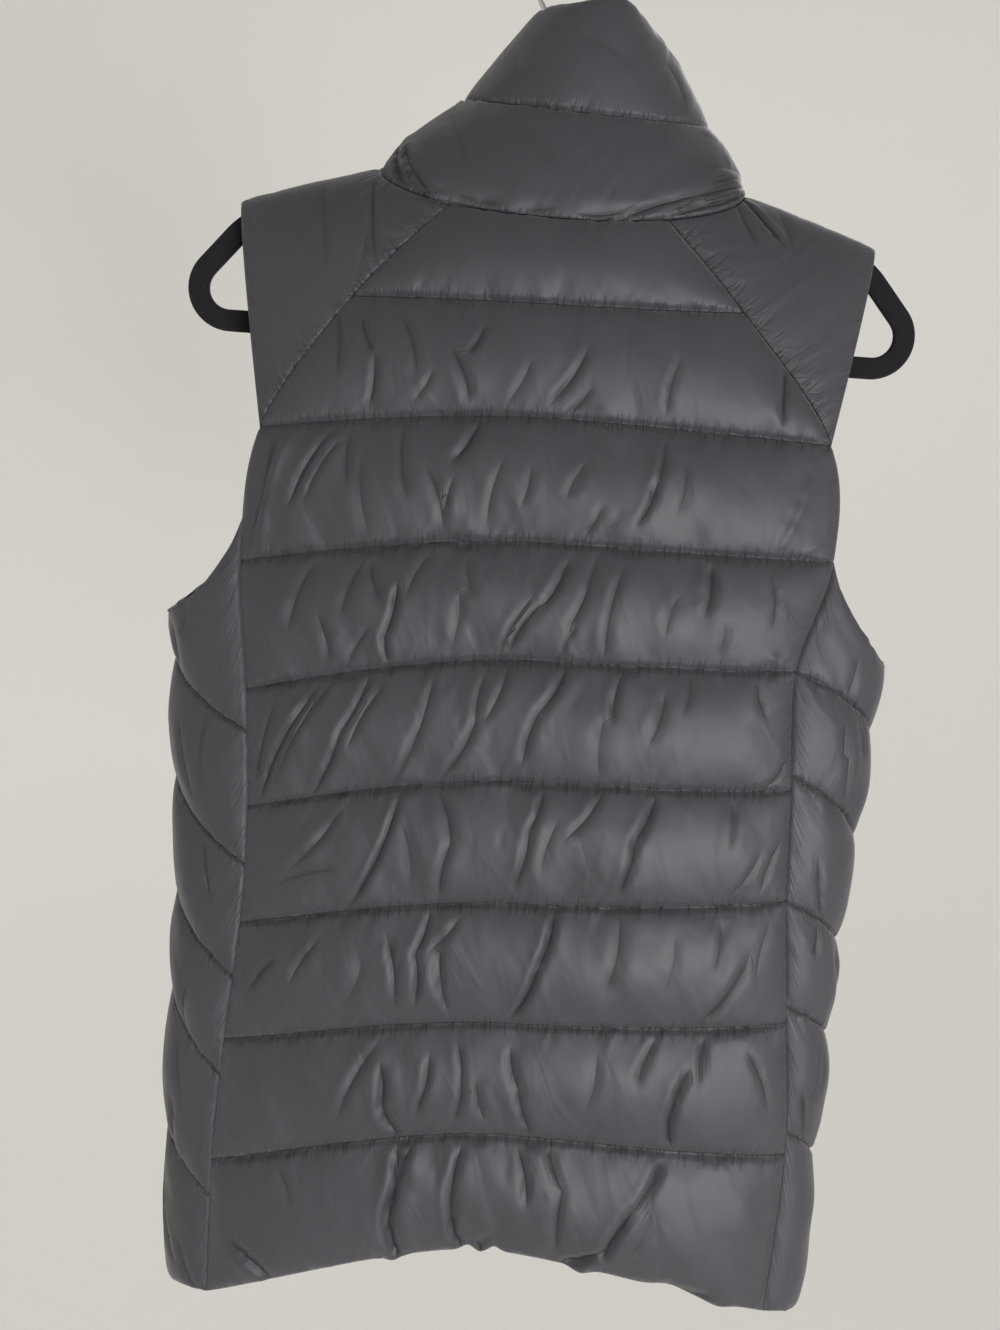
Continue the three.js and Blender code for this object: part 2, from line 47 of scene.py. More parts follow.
right = level * math.cos(ROLL) + upright * math.sin(ROLL)
top = upright * math.cos(ROLL) - level * math.sin(ROLL)
lens = bpy.data.cameras.new("camera")
lens.lens, lens.sensor_width, lens.sensor_fit = 35, 36, "AUTO"
lens.clip_start, lens.clip_end = 0.05, 20
camera = bpy.data.objects.new("camera", lens)
camera.matrix_world = Matrix.Translation((0.0151, 0.8017, -0.3387)) @ Matrix(
    (right, top, -ahead)).transposed().to_4x4()
bpy.context.scene.collection.objects.link(camera)
bpy.context.scene.camera = camera
bpy.context.scene.view_settings.view_transform = "Standard"


def add_object(name, mesh, smooth=True):
    mesh.polygons.foreach_set("use_smooth", [smooth] * len(mesh.polygons))
    made = bpy.data.objects.new(name, mesh)
    bpy.context.scene.collection.objects.link(made)
    return made


def add_node(nodes, kind, values=()):
    """A node of this kind, with its inputs, or else its settings, given by name."""
    made = nodes.new(kind)
    for name, value in dict(values).items():
        if name in made.inputs:
            made.inputs[name].default_value = value
        else:
            setattr(made, name, value)
    return made


def link(source, output, target, entry):
    source.id_data.links.new(source.outputs[output], target.inputs[entry])


def two_tones(nodes, dark, light):
    """A ramp from a dark colour to a light one."""
    ramp = nodes.new("ShaderNodeValToRGB")
    for stop, colour in zip(ramp.color_ramp.elements, (dark, light)):
        stop.color = (*colour, 1)
    return ramp


def new_material(name, values):
    """A material of one glossy shader, its own inputs given by name."""
    made = bpy.data.materials.new(name)
    made.use_nodes = True
    nodes = made.node_tree.nodes
    nodes.clear()
    shader = add_node(nodes, "ShaderNodeBsdfPrincipled", values)
    link(shader, "BSDF", nodes.new("ShaderNodeOutputMaterial"), "Surface")
    return made, nodes, shader


FLOOR, ROOM, ROUND, WALL_TOP = -3.3, 3.6, 1.4, 3.2
profile = [(0.0, FLOOR), (ROOM - ROUND, FLOOR)]
for step in range(1, 33):
    a = math.pi / 2 * step / 32
    profile.append((ROOM - ROUND + ROUND * math.sin(a), FLOOR + ROUND * (1 - math.cos(a))))
profile.append((ROOM, WALL_TOP))
room = bmesh.new()
rim = [room.verts.new((r, 0, z)) for r, z in profile]
room_edges = [room.edges.new(pair) for pair in zip(rim, rim[1:])]
bmesh.ops.spin(room, geom=rim + room_edges, axis=(0, 0, 1), cent=(0, 0, 0), angle=2 * math.pi, steps=96)
bmesh.ops.remove_doubles(room, verts=room.verts, dist=1e-5)
bmesh.ops.recalc_face_normals(room, faces=room.faces)
bmesh.ops.reverse_faces(room, faces=room.faces)
room_mesh = bpy.data.meshes.new("room")
room.to_mesh(room_mesh)
room.free()
backdrop = add_object("room", room_mesh)
paint = new_material("pale paint", {
    "Base Color": (0.90, 0.90, 0.86, 1), "Roughness": 0.9, "Specular IOR Level": 0.1})[0]
room_mesh.materials.append(paint)

world = bpy.data.worlds.new("sky")
world.use_nodes = True
sky = world.node_tree.nodes["Background"]
sky.inputs["Color"].default_value, sky.inputs["Strength"].default_value = (0.95, 0.98, 1.0, 1), 0.24
bpy.context.scene.world = world


def soft_light(name, place, towards, size, watts, colour):
    data = bpy.data.lights.new(name, "AREA")
    data.shape, data.size, data.size_y = "RECTANGLE", size[0], size[1]
    data.energy, data.color = watts, colour
    lamp = bpy.data.objects.new(name, data)
    lamp.location = place
    lamp.rotation_euler = (Vector(towards) - Vector(place)).to_track_quat("-Z", "Y").to_euler()
    bpy.context.scene.collection.objects.link(lamp)


soft_light("low light", (-1.1, 2.3, -1.05), (0, 0, -0.5), (1.3, 0.9), 62, (1.0, 0.925, 0.99))
soft_light("wall light", (0, -1.0, 1.6), (0, -3.6, -0.5), (2.6, 1.2), 16, (1.0, 0.98, 0.95))
soft_light("front light", (-0.9, -2.4, 0.7), (0, 0, -0.4), (1.8, 1.6), 30, (1.0, 0.99, 0.97))

# Back panel: the middle of the vest's back, two layers of thin nylon taffeta with wadding between,
# quilted through along eight level lines that lift at the left. Sewn to the yokes and the side panels.
MM = 0.001
SEAM_HALF = 1.3 * MM
PUFF_OUT, PUFF_IN = 8.5 * MM, 5 * MM
EDGE_RISE = 26 * MM
CHANNEL_POWER = 0.55
NECK = {"half": 0.108, "side": -0.132, "back": -0.159, "front": -0.204}
SHOULDER = {"tip": 0.190, "fall": 0.3, "ramp": 0.060}
SECTION_POWER, BOW = 2.6, 1.5
LEVEL_TOP, LEVEL_STEP = -0.100, -0.120
LEVELS = {
    "left": [214, 214, 215, 211, 203, 203, 197, 190],
    "right": [214, 214, 216, 213, 206, 206, 204, 200],
    "back": [38, 42, 45, 48, 49, 49, 48, 46],
    "front": [40, 45, 49, 52, 53, 52, 50, 48],
}
BACK_LINES = {
    "mid": [-159, -208, -273, -345, -414, -486, -560, -634, -704, -778],
    "rise_left": [5, -3, -17, -24, -31, -30, -28, -29, -38, -52],
    "rise_right": [5, 4, -3, 1, 4, 4, 10, 7, -9, -38],
    "reach_left": [64, 116, 166, 173, 165, 160, 161, 167, 171, 170],
    "reach_right": [62, 110, 169, 177, 160, 164, 168, 176, 184, 180],
}
LINES = 9


def smooth_between(p, a, b, n, t):
    """A smooth curve from a to b, with p before and n after them."""
    return a + 0.5 * t * (b - p + t * (2 * p - 5 * a + 4 * b - n + t * (3 * (a - b) + n - p)))


def column(values, at):
    """A table's column read smoothly at row `at`, which may lie between rows."""
    rows, at = np.asarray(values, float), np.asarray(at, float)
    last = len(rows) - 1
    i = np.clip(np.floor(at).astype(int), 0, last - 1)
    return smooth_between(*(rows[np.clip(i + k, 0, last)] for k in (-1, 0, 1, 2)), at - i)


def mix(a, b, t):
    return a + (b - a) * t


def level_at(z):
    return (z - LEVEL_TOP) / LEVEL_STEP


def half_width(x, z):
    at = level_at(z)
    return np.where(x < 0, column(LEVELS["right"], at), column(LEVELS["left"], at)) * MM


def depth_at(z, side):
    at = level_at(z)
    return np.where(side > 0, column(LEVELS["back"], at), column(LEVELS["front"], at)) * MM


def ridge_height(x):
    return NECK["side"] - SHOULDER["fall"] * (np.abs(x) - NECK["half"])


def opened(x, z):
    """How far the shoulder's ridge has opened into the full tube."""
    return np.sqrt(1 - np.exp(-np.maximum(ridge_height(x) - z, 0) / SHOULDER["ramp"]))


def body_point(x, z, side):
    share = np.minimum(np.abs(x) / half_width(x, z), 1)
    flat = (1 - share ** SECTION_POWER) ** (1 / SECTION_POWER)
    return np.stack([x, side * depth_at(z, side) * flat * opened(x, z), z], -1)


def neck_at(c, side):
    """The neck's height, from its side (c = 0) to its middle (c = 1)."""
    return mix(NECK["side"], np.where(side > 0, NECK["back"], NECK["front"]), c)


def neck_height(x, side):
    return neck_at(np.sqrt(np.maximum(1 - (x / NECK["half"]) ** 2, 0)), side)


def back_read(name, u, v):
    return np.where(u < 0, column(BACK_LINES[name + "_right"], v), column(BACK_LINES[name + "_left"], v)) * MM


def back_place(u, v):
    """x and z on the back: u runs from the right seam (-1) to the left (1), v counts quilt lines."""
    bend = np.abs(u) ** BOW
    z = column(BACK_LINES["mid"], v) * MM + back_read("rise", u, v) * bend
    top_row = BACK_LINES["mid"][0] * MM + back_read("rise", u, 0) * bend
    z = z + np.maximum(1 - v, 0) ** 2 * (neck_height(u * back_read("reach", u, 0), 1) - top_row)
    return u * back_read("reach", u, v), z


def normals_of(grid, turn):
    """Outward unit normals of a grid of points, rows down (v) and columns across (u)."""
    down, across = np.gradient(grid, axis=0), np.gradient(grid, axis=1)
    normal = turn * np.cross(across, down)
    return normal / np.linalg.norm(normal, axis=-1, keepdims=True)


def swell(v):
    t = v - np.floor(v)
    return np.maximum(4 * t * (1 - t), 0) ** CHANNEL_POWER


def from_seam(distance):
    return np.sqrt(np.clip(distance / EDGE_RISE, 0, 1))


def quads(rows, columns, flip):
    i = np.arange(rows * columns).reshape(rows, columns)
    faces = np.stack([i[:-1, :-1], i[:-1, 1:], i[1:, 1:], i[1:, :-1]], -1).reshape(-1, 4)
    return faces[:, ::-1] if flip else faces


def blow_up(start, cut, sewn, turn, frames=14):
    """Fills a sheet with air by cloth simulation, held where it is sewn. `cut` is its flat pattern."""
    rows, columns = start.shape[:2]
    mesh = bpy.data.meshes.new("taffeta")
    mesh.from_pydata(start.reshape(-1, 3).tolist(), [], quads(rows, columns, turn < 0).tolist())
    sheet = add_object("taffeta", mesh)
    sheet.shape_key_add(name="Basis")
    flat = sheet.shape_key_add(name="cut")
    flat.data.foreach_set("co", cut.ravel())
    flat.value = 0
    held = sheet.vertex_groups.new(name="sewn")
    held.add(np.flatnonzero(sewn.ravel()).tolist(), 1.0, "REPLACE")
    cloth = sheet.modifiers.new("Cloth", "CLOTH")
    rules = cloth.settings
    rules.rest_shape_key = flat
    rules.vertex_group_mass = "sewn"
    rules.mass = 1e-3
    rules.quality = 5
    rules.tension_stiffness = rules.compression_stiffness = 60
    rules.shear_stiffness = 10
    rules.bending_stiffness = 1.5
    rules.tension_damping = rules.compression_damping = rules.shear_damping = 5
    rules.bending_damping = 0.5
    rules.air_damping = 0.5
    rules.use_pressure = True
    rules.uniform_pressure_force = 60
    rules.effector_weights.gravity = 0
    cloth.collision_settings.use_collision = False
    cloth.collision_settings.use_self_collision = False
    cloth.point_cache.frame_start, cloth.point_cache.frame_end = 1, frames
    scene = bpy.context.scene
    for at in range(1, frames + 1):
        scene.frame_set(at)
    done = sheet.evaluated_get(bpy.context.evaluated_depsgraph_get())
    points = np.empty(rows * columns * 3, np.float32)
    done.to_mesh().vertices.foreach_get("co", points)
    done.to_mesh_clear()
    bpy.data.objects.remove(sheet)
    bpy.data.meshes.remove(mesh)
    scene.frame_set(1)
    return points.reshape(rows, columns, 3).astype(float)


def ease(t):
    t = np.clip(t, 0, 1)
    return t * t * (3 - 2 * t)


def ripple(across, row, seed, rows=64, length=512):
    """Smooth random waves along `across`, in unit steps, of their own on each whole row."""
    table = np.random.default_rng(seed).uniform(-1, 1, (rows, length))
    i = np.floor(across).astype(int)
    t = ease(across - i)
    row = row.astype(int) % rows
    return mix(table[row, i % length], table[row, (i + 1) % length], t)


def cloud(a, b, seed, size=64):
    """Smooth random patches over two directions, in unit steps."""
    table = np.random.default_rng(seed).uniform(-1, 1, (size, size))
    i, j = np.floor(a).astype(int), np.floor(b).astype(int)
    s, t = ease(a - i), ease(b - j)
    i, j = i % size, j % size
    k, l = (i + 1) % size, (j + 1) % size
    return mix(mix(table[i, j], table[k, j], s), mix(table[i, l], table[k, l], s), t)


NO_CREASE, CREASE_WIDTH, CRISP_DEPTH, CRISP_WIDTH, CRISP_REACH = 20 * MM, 0.62, 2.6, 5, 3 * MM
CREASE_BEND, RIDGE_HEIGHT, FAR_RIDGE_HEIGHT = 0.05, 0.34, 0.18


def crease_height(across, v, drop, creases):
    """Height of the listed creases. Each runs from (x0, v0) to (x1, v1): x across from the panel's middle
    and v in quilt lines. It is a trough of this depth and width, all but v in millimetres, with a low ridge
    on each side. Also the way to the middle of the sharpest crease near each point, and how sharp it is."""
    height, line, sharp = np.zeros_like(across), np.full_like(across, NO_CREASE), np.zeros_like(across)
    middle = drop.shape[1] // 2
    v_line, drop_line = v[:, middle], drop[:, middle]
    for x0, v0, x1, v1, depth, width in creases:
        z0, z1 = np.interp([v0, v1], v_line, drop_line)
        begin, along = np.array([x0 * MM, z0]), np.array([(x1 - x0) * MM, z1 - z0])
        length = np.hypot(*along)
        along = along / length
        local = np.interp(v, v_line, drop_line)
        dx, dz = across - begin[0], local - begin[1]
        t = (dx * along[0] + dz * along[1]) / length
        off = dx * along[1] - dz * along[0]
        bend = CREASE_BEND * length * np.sin(np.clip(t, 0, 1) * math.pi)
        off = off + (bend if (x0 + x1) % 2 < 1 else -bend)
        w = CREASE_WIDTH * width * MM
        fade = ease((t + 0.12) / 0.35) * ease((1.12 - t) / 0.35)
        height += depth * MM * fade * (RIDGE_HEIGHT * np.exp(-np.abs((off - 2.0 * w) / (1.8 * w)) ** 1.6)
                                       - np.exp(-np.abs(off / w) ** 1.25)
                                       + FAR_RIDGE_HEIGHT * np.exp(-((off + 2.4 * w) / (2.2 * w)) ** 2))
        strength = min(max(depth, 0) / CRISP_DEPTH, 1) * min(CRISP_WIDTH / width, 1)
        crisp = strength * fade * np.clip(2 - np.abs(off) / CRISP_REACH, 0, 1)
        line, sharp = np.where(crisp > sharp, off, line), np.maximum(sharp, crisp)
    return height, line, sharp


def finer(grid):
    """A grid of values with one more between each pair, both ways, on a smooth curve."""
    for axis in (0, 1):
        grid = np.moveaxis(grid, axis, 0)
        ends = np.concatenate([2 * grid[:1] - grid[1:2], grid, 2 * grid[-1:] - grid[-2:-1]])
        between = (9 * (ends[1:-2] + ends[2:-1]) - ends[:-3] - ends[3:]) / 16
        made = np.empty((2 * len(grid) - 1,) + grid.shape[1:])
        made[0::2], made[1::2] = grid, between
        grid = np.moveaxis(made, 0, axis)
    return grid


def border(rows, columns, first=0):
    i = np.arange(rows * columns).reshape(rows, columns) + first
    return np.concatenate([i[0, :-1], i[:-1, -1], i[-1, :0:-1], i[:0:-1, 0]])


def two_sheets(name, outer, inner, turn, maps):
    """One closed wall: a fine outer sheet, an inner sheet on half its grid, and the edge between them."""
    (rows, columns), (few_rows, few_columns) = outer.shape[:2], inner.shape[:2]
    first = rows * columns
    rim, inner_rim = border(rows, columns), border(few_rows, few_columns, first)
    edge = np.stack([rim[0::2], inner_rim, np.roll(inner_rim, -1), np.roll(rim[0::2], -1), rim[1::2]], -1)
    if turn < 0:
        edge = edge[:, ::-1]
    faces = (quads(rows, columns, turn < 0).tolist()
             + (quads(few_rows, few_columns, turn > 0) + first).tolist() + edge.tolist())
    mesh = bpy.data.meshes.new(name)
    mesh.from_pydata(np.concatenate([outer.reshape(-1, 3), inner.reshape(-1, 3)]).tolist(), [], faces)
    corners = np.empty(len(mesh.loops), np.int32)
    mesh.loops.foreach_get("vertex_index", corners)
    for layer, values in maps.items():
        values = np.concatenate([values.reshape(-1, 2), values[::2, ::2].reshape(-1, 2)])
        mesh.uv_layers.new(name=layer).data.foreach_set("uv", values[corners].astype(np.float32).ravel())
    mesh.validate()
    return add_object(name, mesh)


LINE_HEIGHT, SET_CREASE = 0.3 * MM, 0.55
PUCKER, PUCKER_STEP, PUCKER_REACH = 1.15 * MM, 4.4 * MM, 7 * MM


def padded_panel(name, mid, v, seam_distance, turn, creases, seed, puff=(PUFF_OUT, PUFF_IN), lean=0.08,
                 full=(1.06, 1.07), quilted=True, soft=1.0, hem=None, tuck=0.0):
    """A padded wall about the surface `mid`, whose rows down (v) count quilt lines. `full` is how much
    larger its cut is, across and down, and `lean` how far that is sheared. `tuck` is a fold's extra height.
    Returns the piece and the points along its quilt lines."""
    zero_row, zero_column = np.zeros((1, mid.shape[1])), np.zeros((mid.shape[0], 1))
    across = np.concatenate([zero_column, np.cumsum(np.linalg.norm(np.diff(mid, axis=1), axis=-1), 1)], 1)
    across -= across[:, [across.shape[1] // 2]]
    drop = np.concatenate([zero_row, np.cumsum(np.linalg.norm(np.diff(mid, axis=0), axis=-1), 0)])
    out = normals_of(mid, turn)
    folds = crease_height(across, v, drop, creases)[0]
    if hem is not None:
        mid = mid + out * (0.5 * folds * ease((v - hem + 0.8) / 0.8))[..., None]
    shape = (swell(v) if quilted else 1.0) * from_seam(seam_distance)
    sewn = np.zeros(v.shape, bool)
    sewn[[0, -1]] = sewn[:, [0, -1]] = True
    on_line = np.abs(v - np.round(v)) < 1e-6
    if quilted:
        sewn |= on_line
    free = np.minimum(shape * 1.6, 1) * ~sewn
    slack = cloud(across / 0.016 + drop / 0.035, drop / 0.03, seed) * 1.1 * MM * soft
    start = mid + out * (SEAM_HALF + 0.75 * puff[0] * shape + free * (0.5 * folds + slack))[..., None]
    outer = start
    cut = np.stack([across * full[0] - lean * drop, 0 * across, -drop * full[1]], -1)
    outer = blow_up(start, cut, sewn, turn)
    height = ((outer - mid) * out).sum(-1)
    kept = np.clip(height, 0.2 * SEAM_HALF, SEAM_HALF + 1.25 * puff[0])
    sewn_height = np.where(on_line, LINE_HEIGHT, SEAM_HALF) if quilted else np.full(v.shape, SEAM_HALF)
    kept[sewn] = sewn_height[sewn]
    kept[[0, -1]] = SEAM_HALF
    outer = outer + out * (kept - height)[..., None]
    inner = mid - out * (SEAM_HALF + puff[1] * shape)[..., None]

    outer, across, drop, v_fine, distance = (finer(g) for g in (outer, across, drop, v, seam_distance))
    out = normals_of(outer, turn)
    folds, crease_line, crisp = crease_height(across, v_fine, drop, creases)
    row = np.round(v_fine)
    spacing = np.abs(np.gradient(drop, axis=0) / np.maximum(np.abs(np.gradient(v_fine, axis=0)), 1e-9))
    from_line = np.abs(v_fine - row) * spacing
    side = row * 2 + (v_fine > row)
    leaning = across - np.where(v_fine > row, 1, -1) * 0.35 * from_line
    ticks = ripple(leaning / PUCKER_STEP, side, seed + 1)
    ticks = ticks + 0.6 * ripple(leaning / (2.3 * PUCKER_STEP), side, seed + 2)
    near = np.exp(-from_line / PUCKER_REACH) * (1 - np.exp(-from_line / (0.8 * MM)))
    seam_ticks = ripple(drop / PUCKER_STEP, (across > 0) * 1, seed + 3)
    near_seam = np.exp(-distance / PUCKER_REACH) * (1 - np.exp(-distance / (1.2 * MM)))
    inside = np.minimum(finer(shape * np.ones(v.shape)) * 1.6, 1)
    patchy = 0.55 + 0.45 * cloud(across / 0.03, v_fine * 2, seed + 4)
    puckers = seam_ticks * near_seam + (ticks * near if quilted else 0)
    move = inside * SET_CREASE * folds + PUCKER * patchy * min(1.6 * soft, 1) * puckers
    move += finer(tuck * np.ones(v.shape))
    move[[0, -1]] = move[:, [0, -1]] = 0
    outer = outer + out * move[..., None]
    maps = {"cut": np.stack([across, v_fine], -1), "edge": np.stack([distance, drop], -1),
            "crease": np.stack([crease_line, crisp * np.minimum(inside * 1.5, 1)], -1)}
    piece = two_sheets(name, outer, inner, turn, maps)
    lines = []
    if quilted:
        for at in range(int(np.ceil(v.min() + 0.01)), int(v.max())):
            k = int(np.argmin(np.abs(v_fine[:, 0] - at)))
            lines.append(outer[k] + out[k] * 0.2 * MM)
    return piece, lines


def panel_rows(first, last, cells):
    """Places down a panel, closer together by the quilt lines."""
    t = np.arange(cells) / cells
    steps = mix(t, 0.5 - 0.5 * np.cos(math.pi * t), 0.6)
    rows = []
    for line in range(int(first), int(last)):
        rows += [line + step for step in steps]
    rows.append(last)
    rows[0] = first
    return np.array(rows, float)


def cloth_material(name, colour, roughness):
    """Thin satin taffeta. It reads three maps of each panel: "cut" holds the way across and the quilt line,
    "edge" the way from the seam and down, and "crease" the way from a crease and how sharp it is."""
    made, nodes, shader = new_material(name, {
        "Specular IOR Level": 0.42, "Sheen Weight": 0.22, "Sheen Roughness": 0.45})
    links = made.node_tree.links

    def maths(kind, a, b=None, clamp=False):
        n = add_node(nodes, "ShaderNodeMath", {"operation": kind, "use_clamp": clamp})
        for socket, value in zip(n.inputs, (a, b)):
            if isinstance(value, (int, float)):
                socket.default_value = value
            elif value is not None:
                links.new(value, socket)
        return n.outputs[0]

    def times(a, b):
        return maths("MULTIPLY", a, b)

    def plus(a, b):
        return maths("ADD", a, b)

    def fading(off, reach):
        """1 where `off` is nothing, down to 0 at this reach."""
        return maths("SUBTRACT", 1.0, maths("DIVIDE", off, reach), clamp=True)

    def panel_map(name):
        parts = nodes.new("ShaderNodeSeparateXYZ")
        link(add_node(nodes, "ShaderNodeUVMap", {"uv_map": name}), 0, parts, 0)
        return parts.outputs[0], parts.outputs[1]

    def noise(place, **values):
        n = add_node(nodes, "ShaderNodeTexNoise", values)
        if isinstance(place, tuple):
            both = nodes.new("ShaderNodeCombineXYZ")
            for socket, value in zip(both.inputs, place):
                links.new(value, socket)
            place = both.outputs[0]
        links.new(place, n.inputs["Vector"])
        return n.outputs["Fac"]

    (across, row), (seam, drop), (off_fold, crisp) = (panel_map(at) for at in ("cut", "edge", "crease"))
    place = nodes.new("ShaderNodeTexCoord").outputs["Object"]

    # Fine gathers that run off each sewn quilt line, and off the side seams: bumps, with painted shade in
    # their hollows.
    off_line = maths("ABSOLUTE", maths("SUBTRACT", row, maths("ROUND", row)))
    near_line = maths("POWER", fading(off_line, 0.1), 1.3)
    gathers = noise((times(across, 330.0), times(drop, 45.0)), Scale=1.0, Detail=2.0, Roughness=0.55)
    near_seam = fading(seam, 1 / 140)
    seam_gathers = noise((times(drop, 300.0), times(seam, 60.0)), Scale=1.0, Detail=2.0)

    # Soft crumple of the whole cloth, long in the direction that the creases lean, the weave, and each
    # crease's sharp bottom, which is a groove with painted shade in it, with more painted shade on one side
    # of it.
    crumple = noise((plus(times(across, 52.0), times(drop, 18.0)), times(drop, 20.0)),
                    Scale=1.0, Detail=2.0, Roughness=0.45, Distortion=0.6)
    core = times(fading(maths("ABSOLUTE", off_fold), 1.4 * MM), crisp)
    # Painted shade on one side of each crease, beside its dark bottom.
    crease_side_shade = times(fading(maths("ABSOLUTE", plus(off_fold, 1.2 * MM)), 4.2 * MM), crisp)
    weave = noise(place, Scale=1900.0, Detail=1.0)
    shades = noise(place, Scale=9.0, Detail=2.0)

    def ticks(gathered, level, near):
        return times(maths("MULTIPLY", maths("SUBTRACT", level, gathered), 9.0, clamp=True), near)

    # The gathers' masks sink the bump and also paint shade into the base colour below.
    tick, seam_tick = ticks(gathers, 0.49, near_line), ticks(seam_gathers, 0.47, near_seam)
    height = times(tick, -0.0007)
    for relief, depth in ((seam_tick, -0.0003), (core, -0.0004), (crumple, 0.0012), (weave, 0.00003)):
        height = plus(height, times(relief, depth))
    bump = add_node(nodes, "ShaderNodeBump", {"Strength": 1.0, "Distance": 1.0})
    links.new(height, bump.inputs["Height"])
    link(bump, "Normal", shader, "Normal")

    tones = two_tones(nodes, [c * 0.93 for c in colour], [c * 1.07 for c in colour])
    tones.color_ramp.elements[0].position, tones.color_ramp.elements[1].position = 0.3, 0.7
    links.new(shades, tones.inputs["Fac"])
    # Painted shade: the base colour is mixed towards near-black in the gathers' hollows, in each crease's
    # bottom and beside it, and in a thin band along each quilt line, which stands partly for the black thread
    # and partly for the shade in the line's valley.
    thread_and_painted_shade = add_node(nodes, "ShaderNodeMix", {"data_type": "RGBA"})
    shade = maths("MAXIMUM", times(maths("MAXIMUM", tick, seam_tick), 0.26),
                  plus(times(core, 0.75), times(crease_side_shade, 0.42)))
    links.new(maths("MAXIMUM", times(fading(off_line, 1 / 90), 0.94), shade), thread_and_painted_shade.inputs[0])
    link(tones, "Color", thread_and_painted_shade, 6)
    thread_and_painted_shade.inputs[7].default_value = (0.006, 0.006, 0.007, 1)
    link(thread_and_painted_shade, 2, shader, "Base Color")
    links.new(plus(times(shades, 0.08), roughness - 0.04), shader.inputs["Roughness"])
    return made


shell = cloth_material("charcoal taffeta", (0.0430, 0.0450, 0.0515), 0.50)

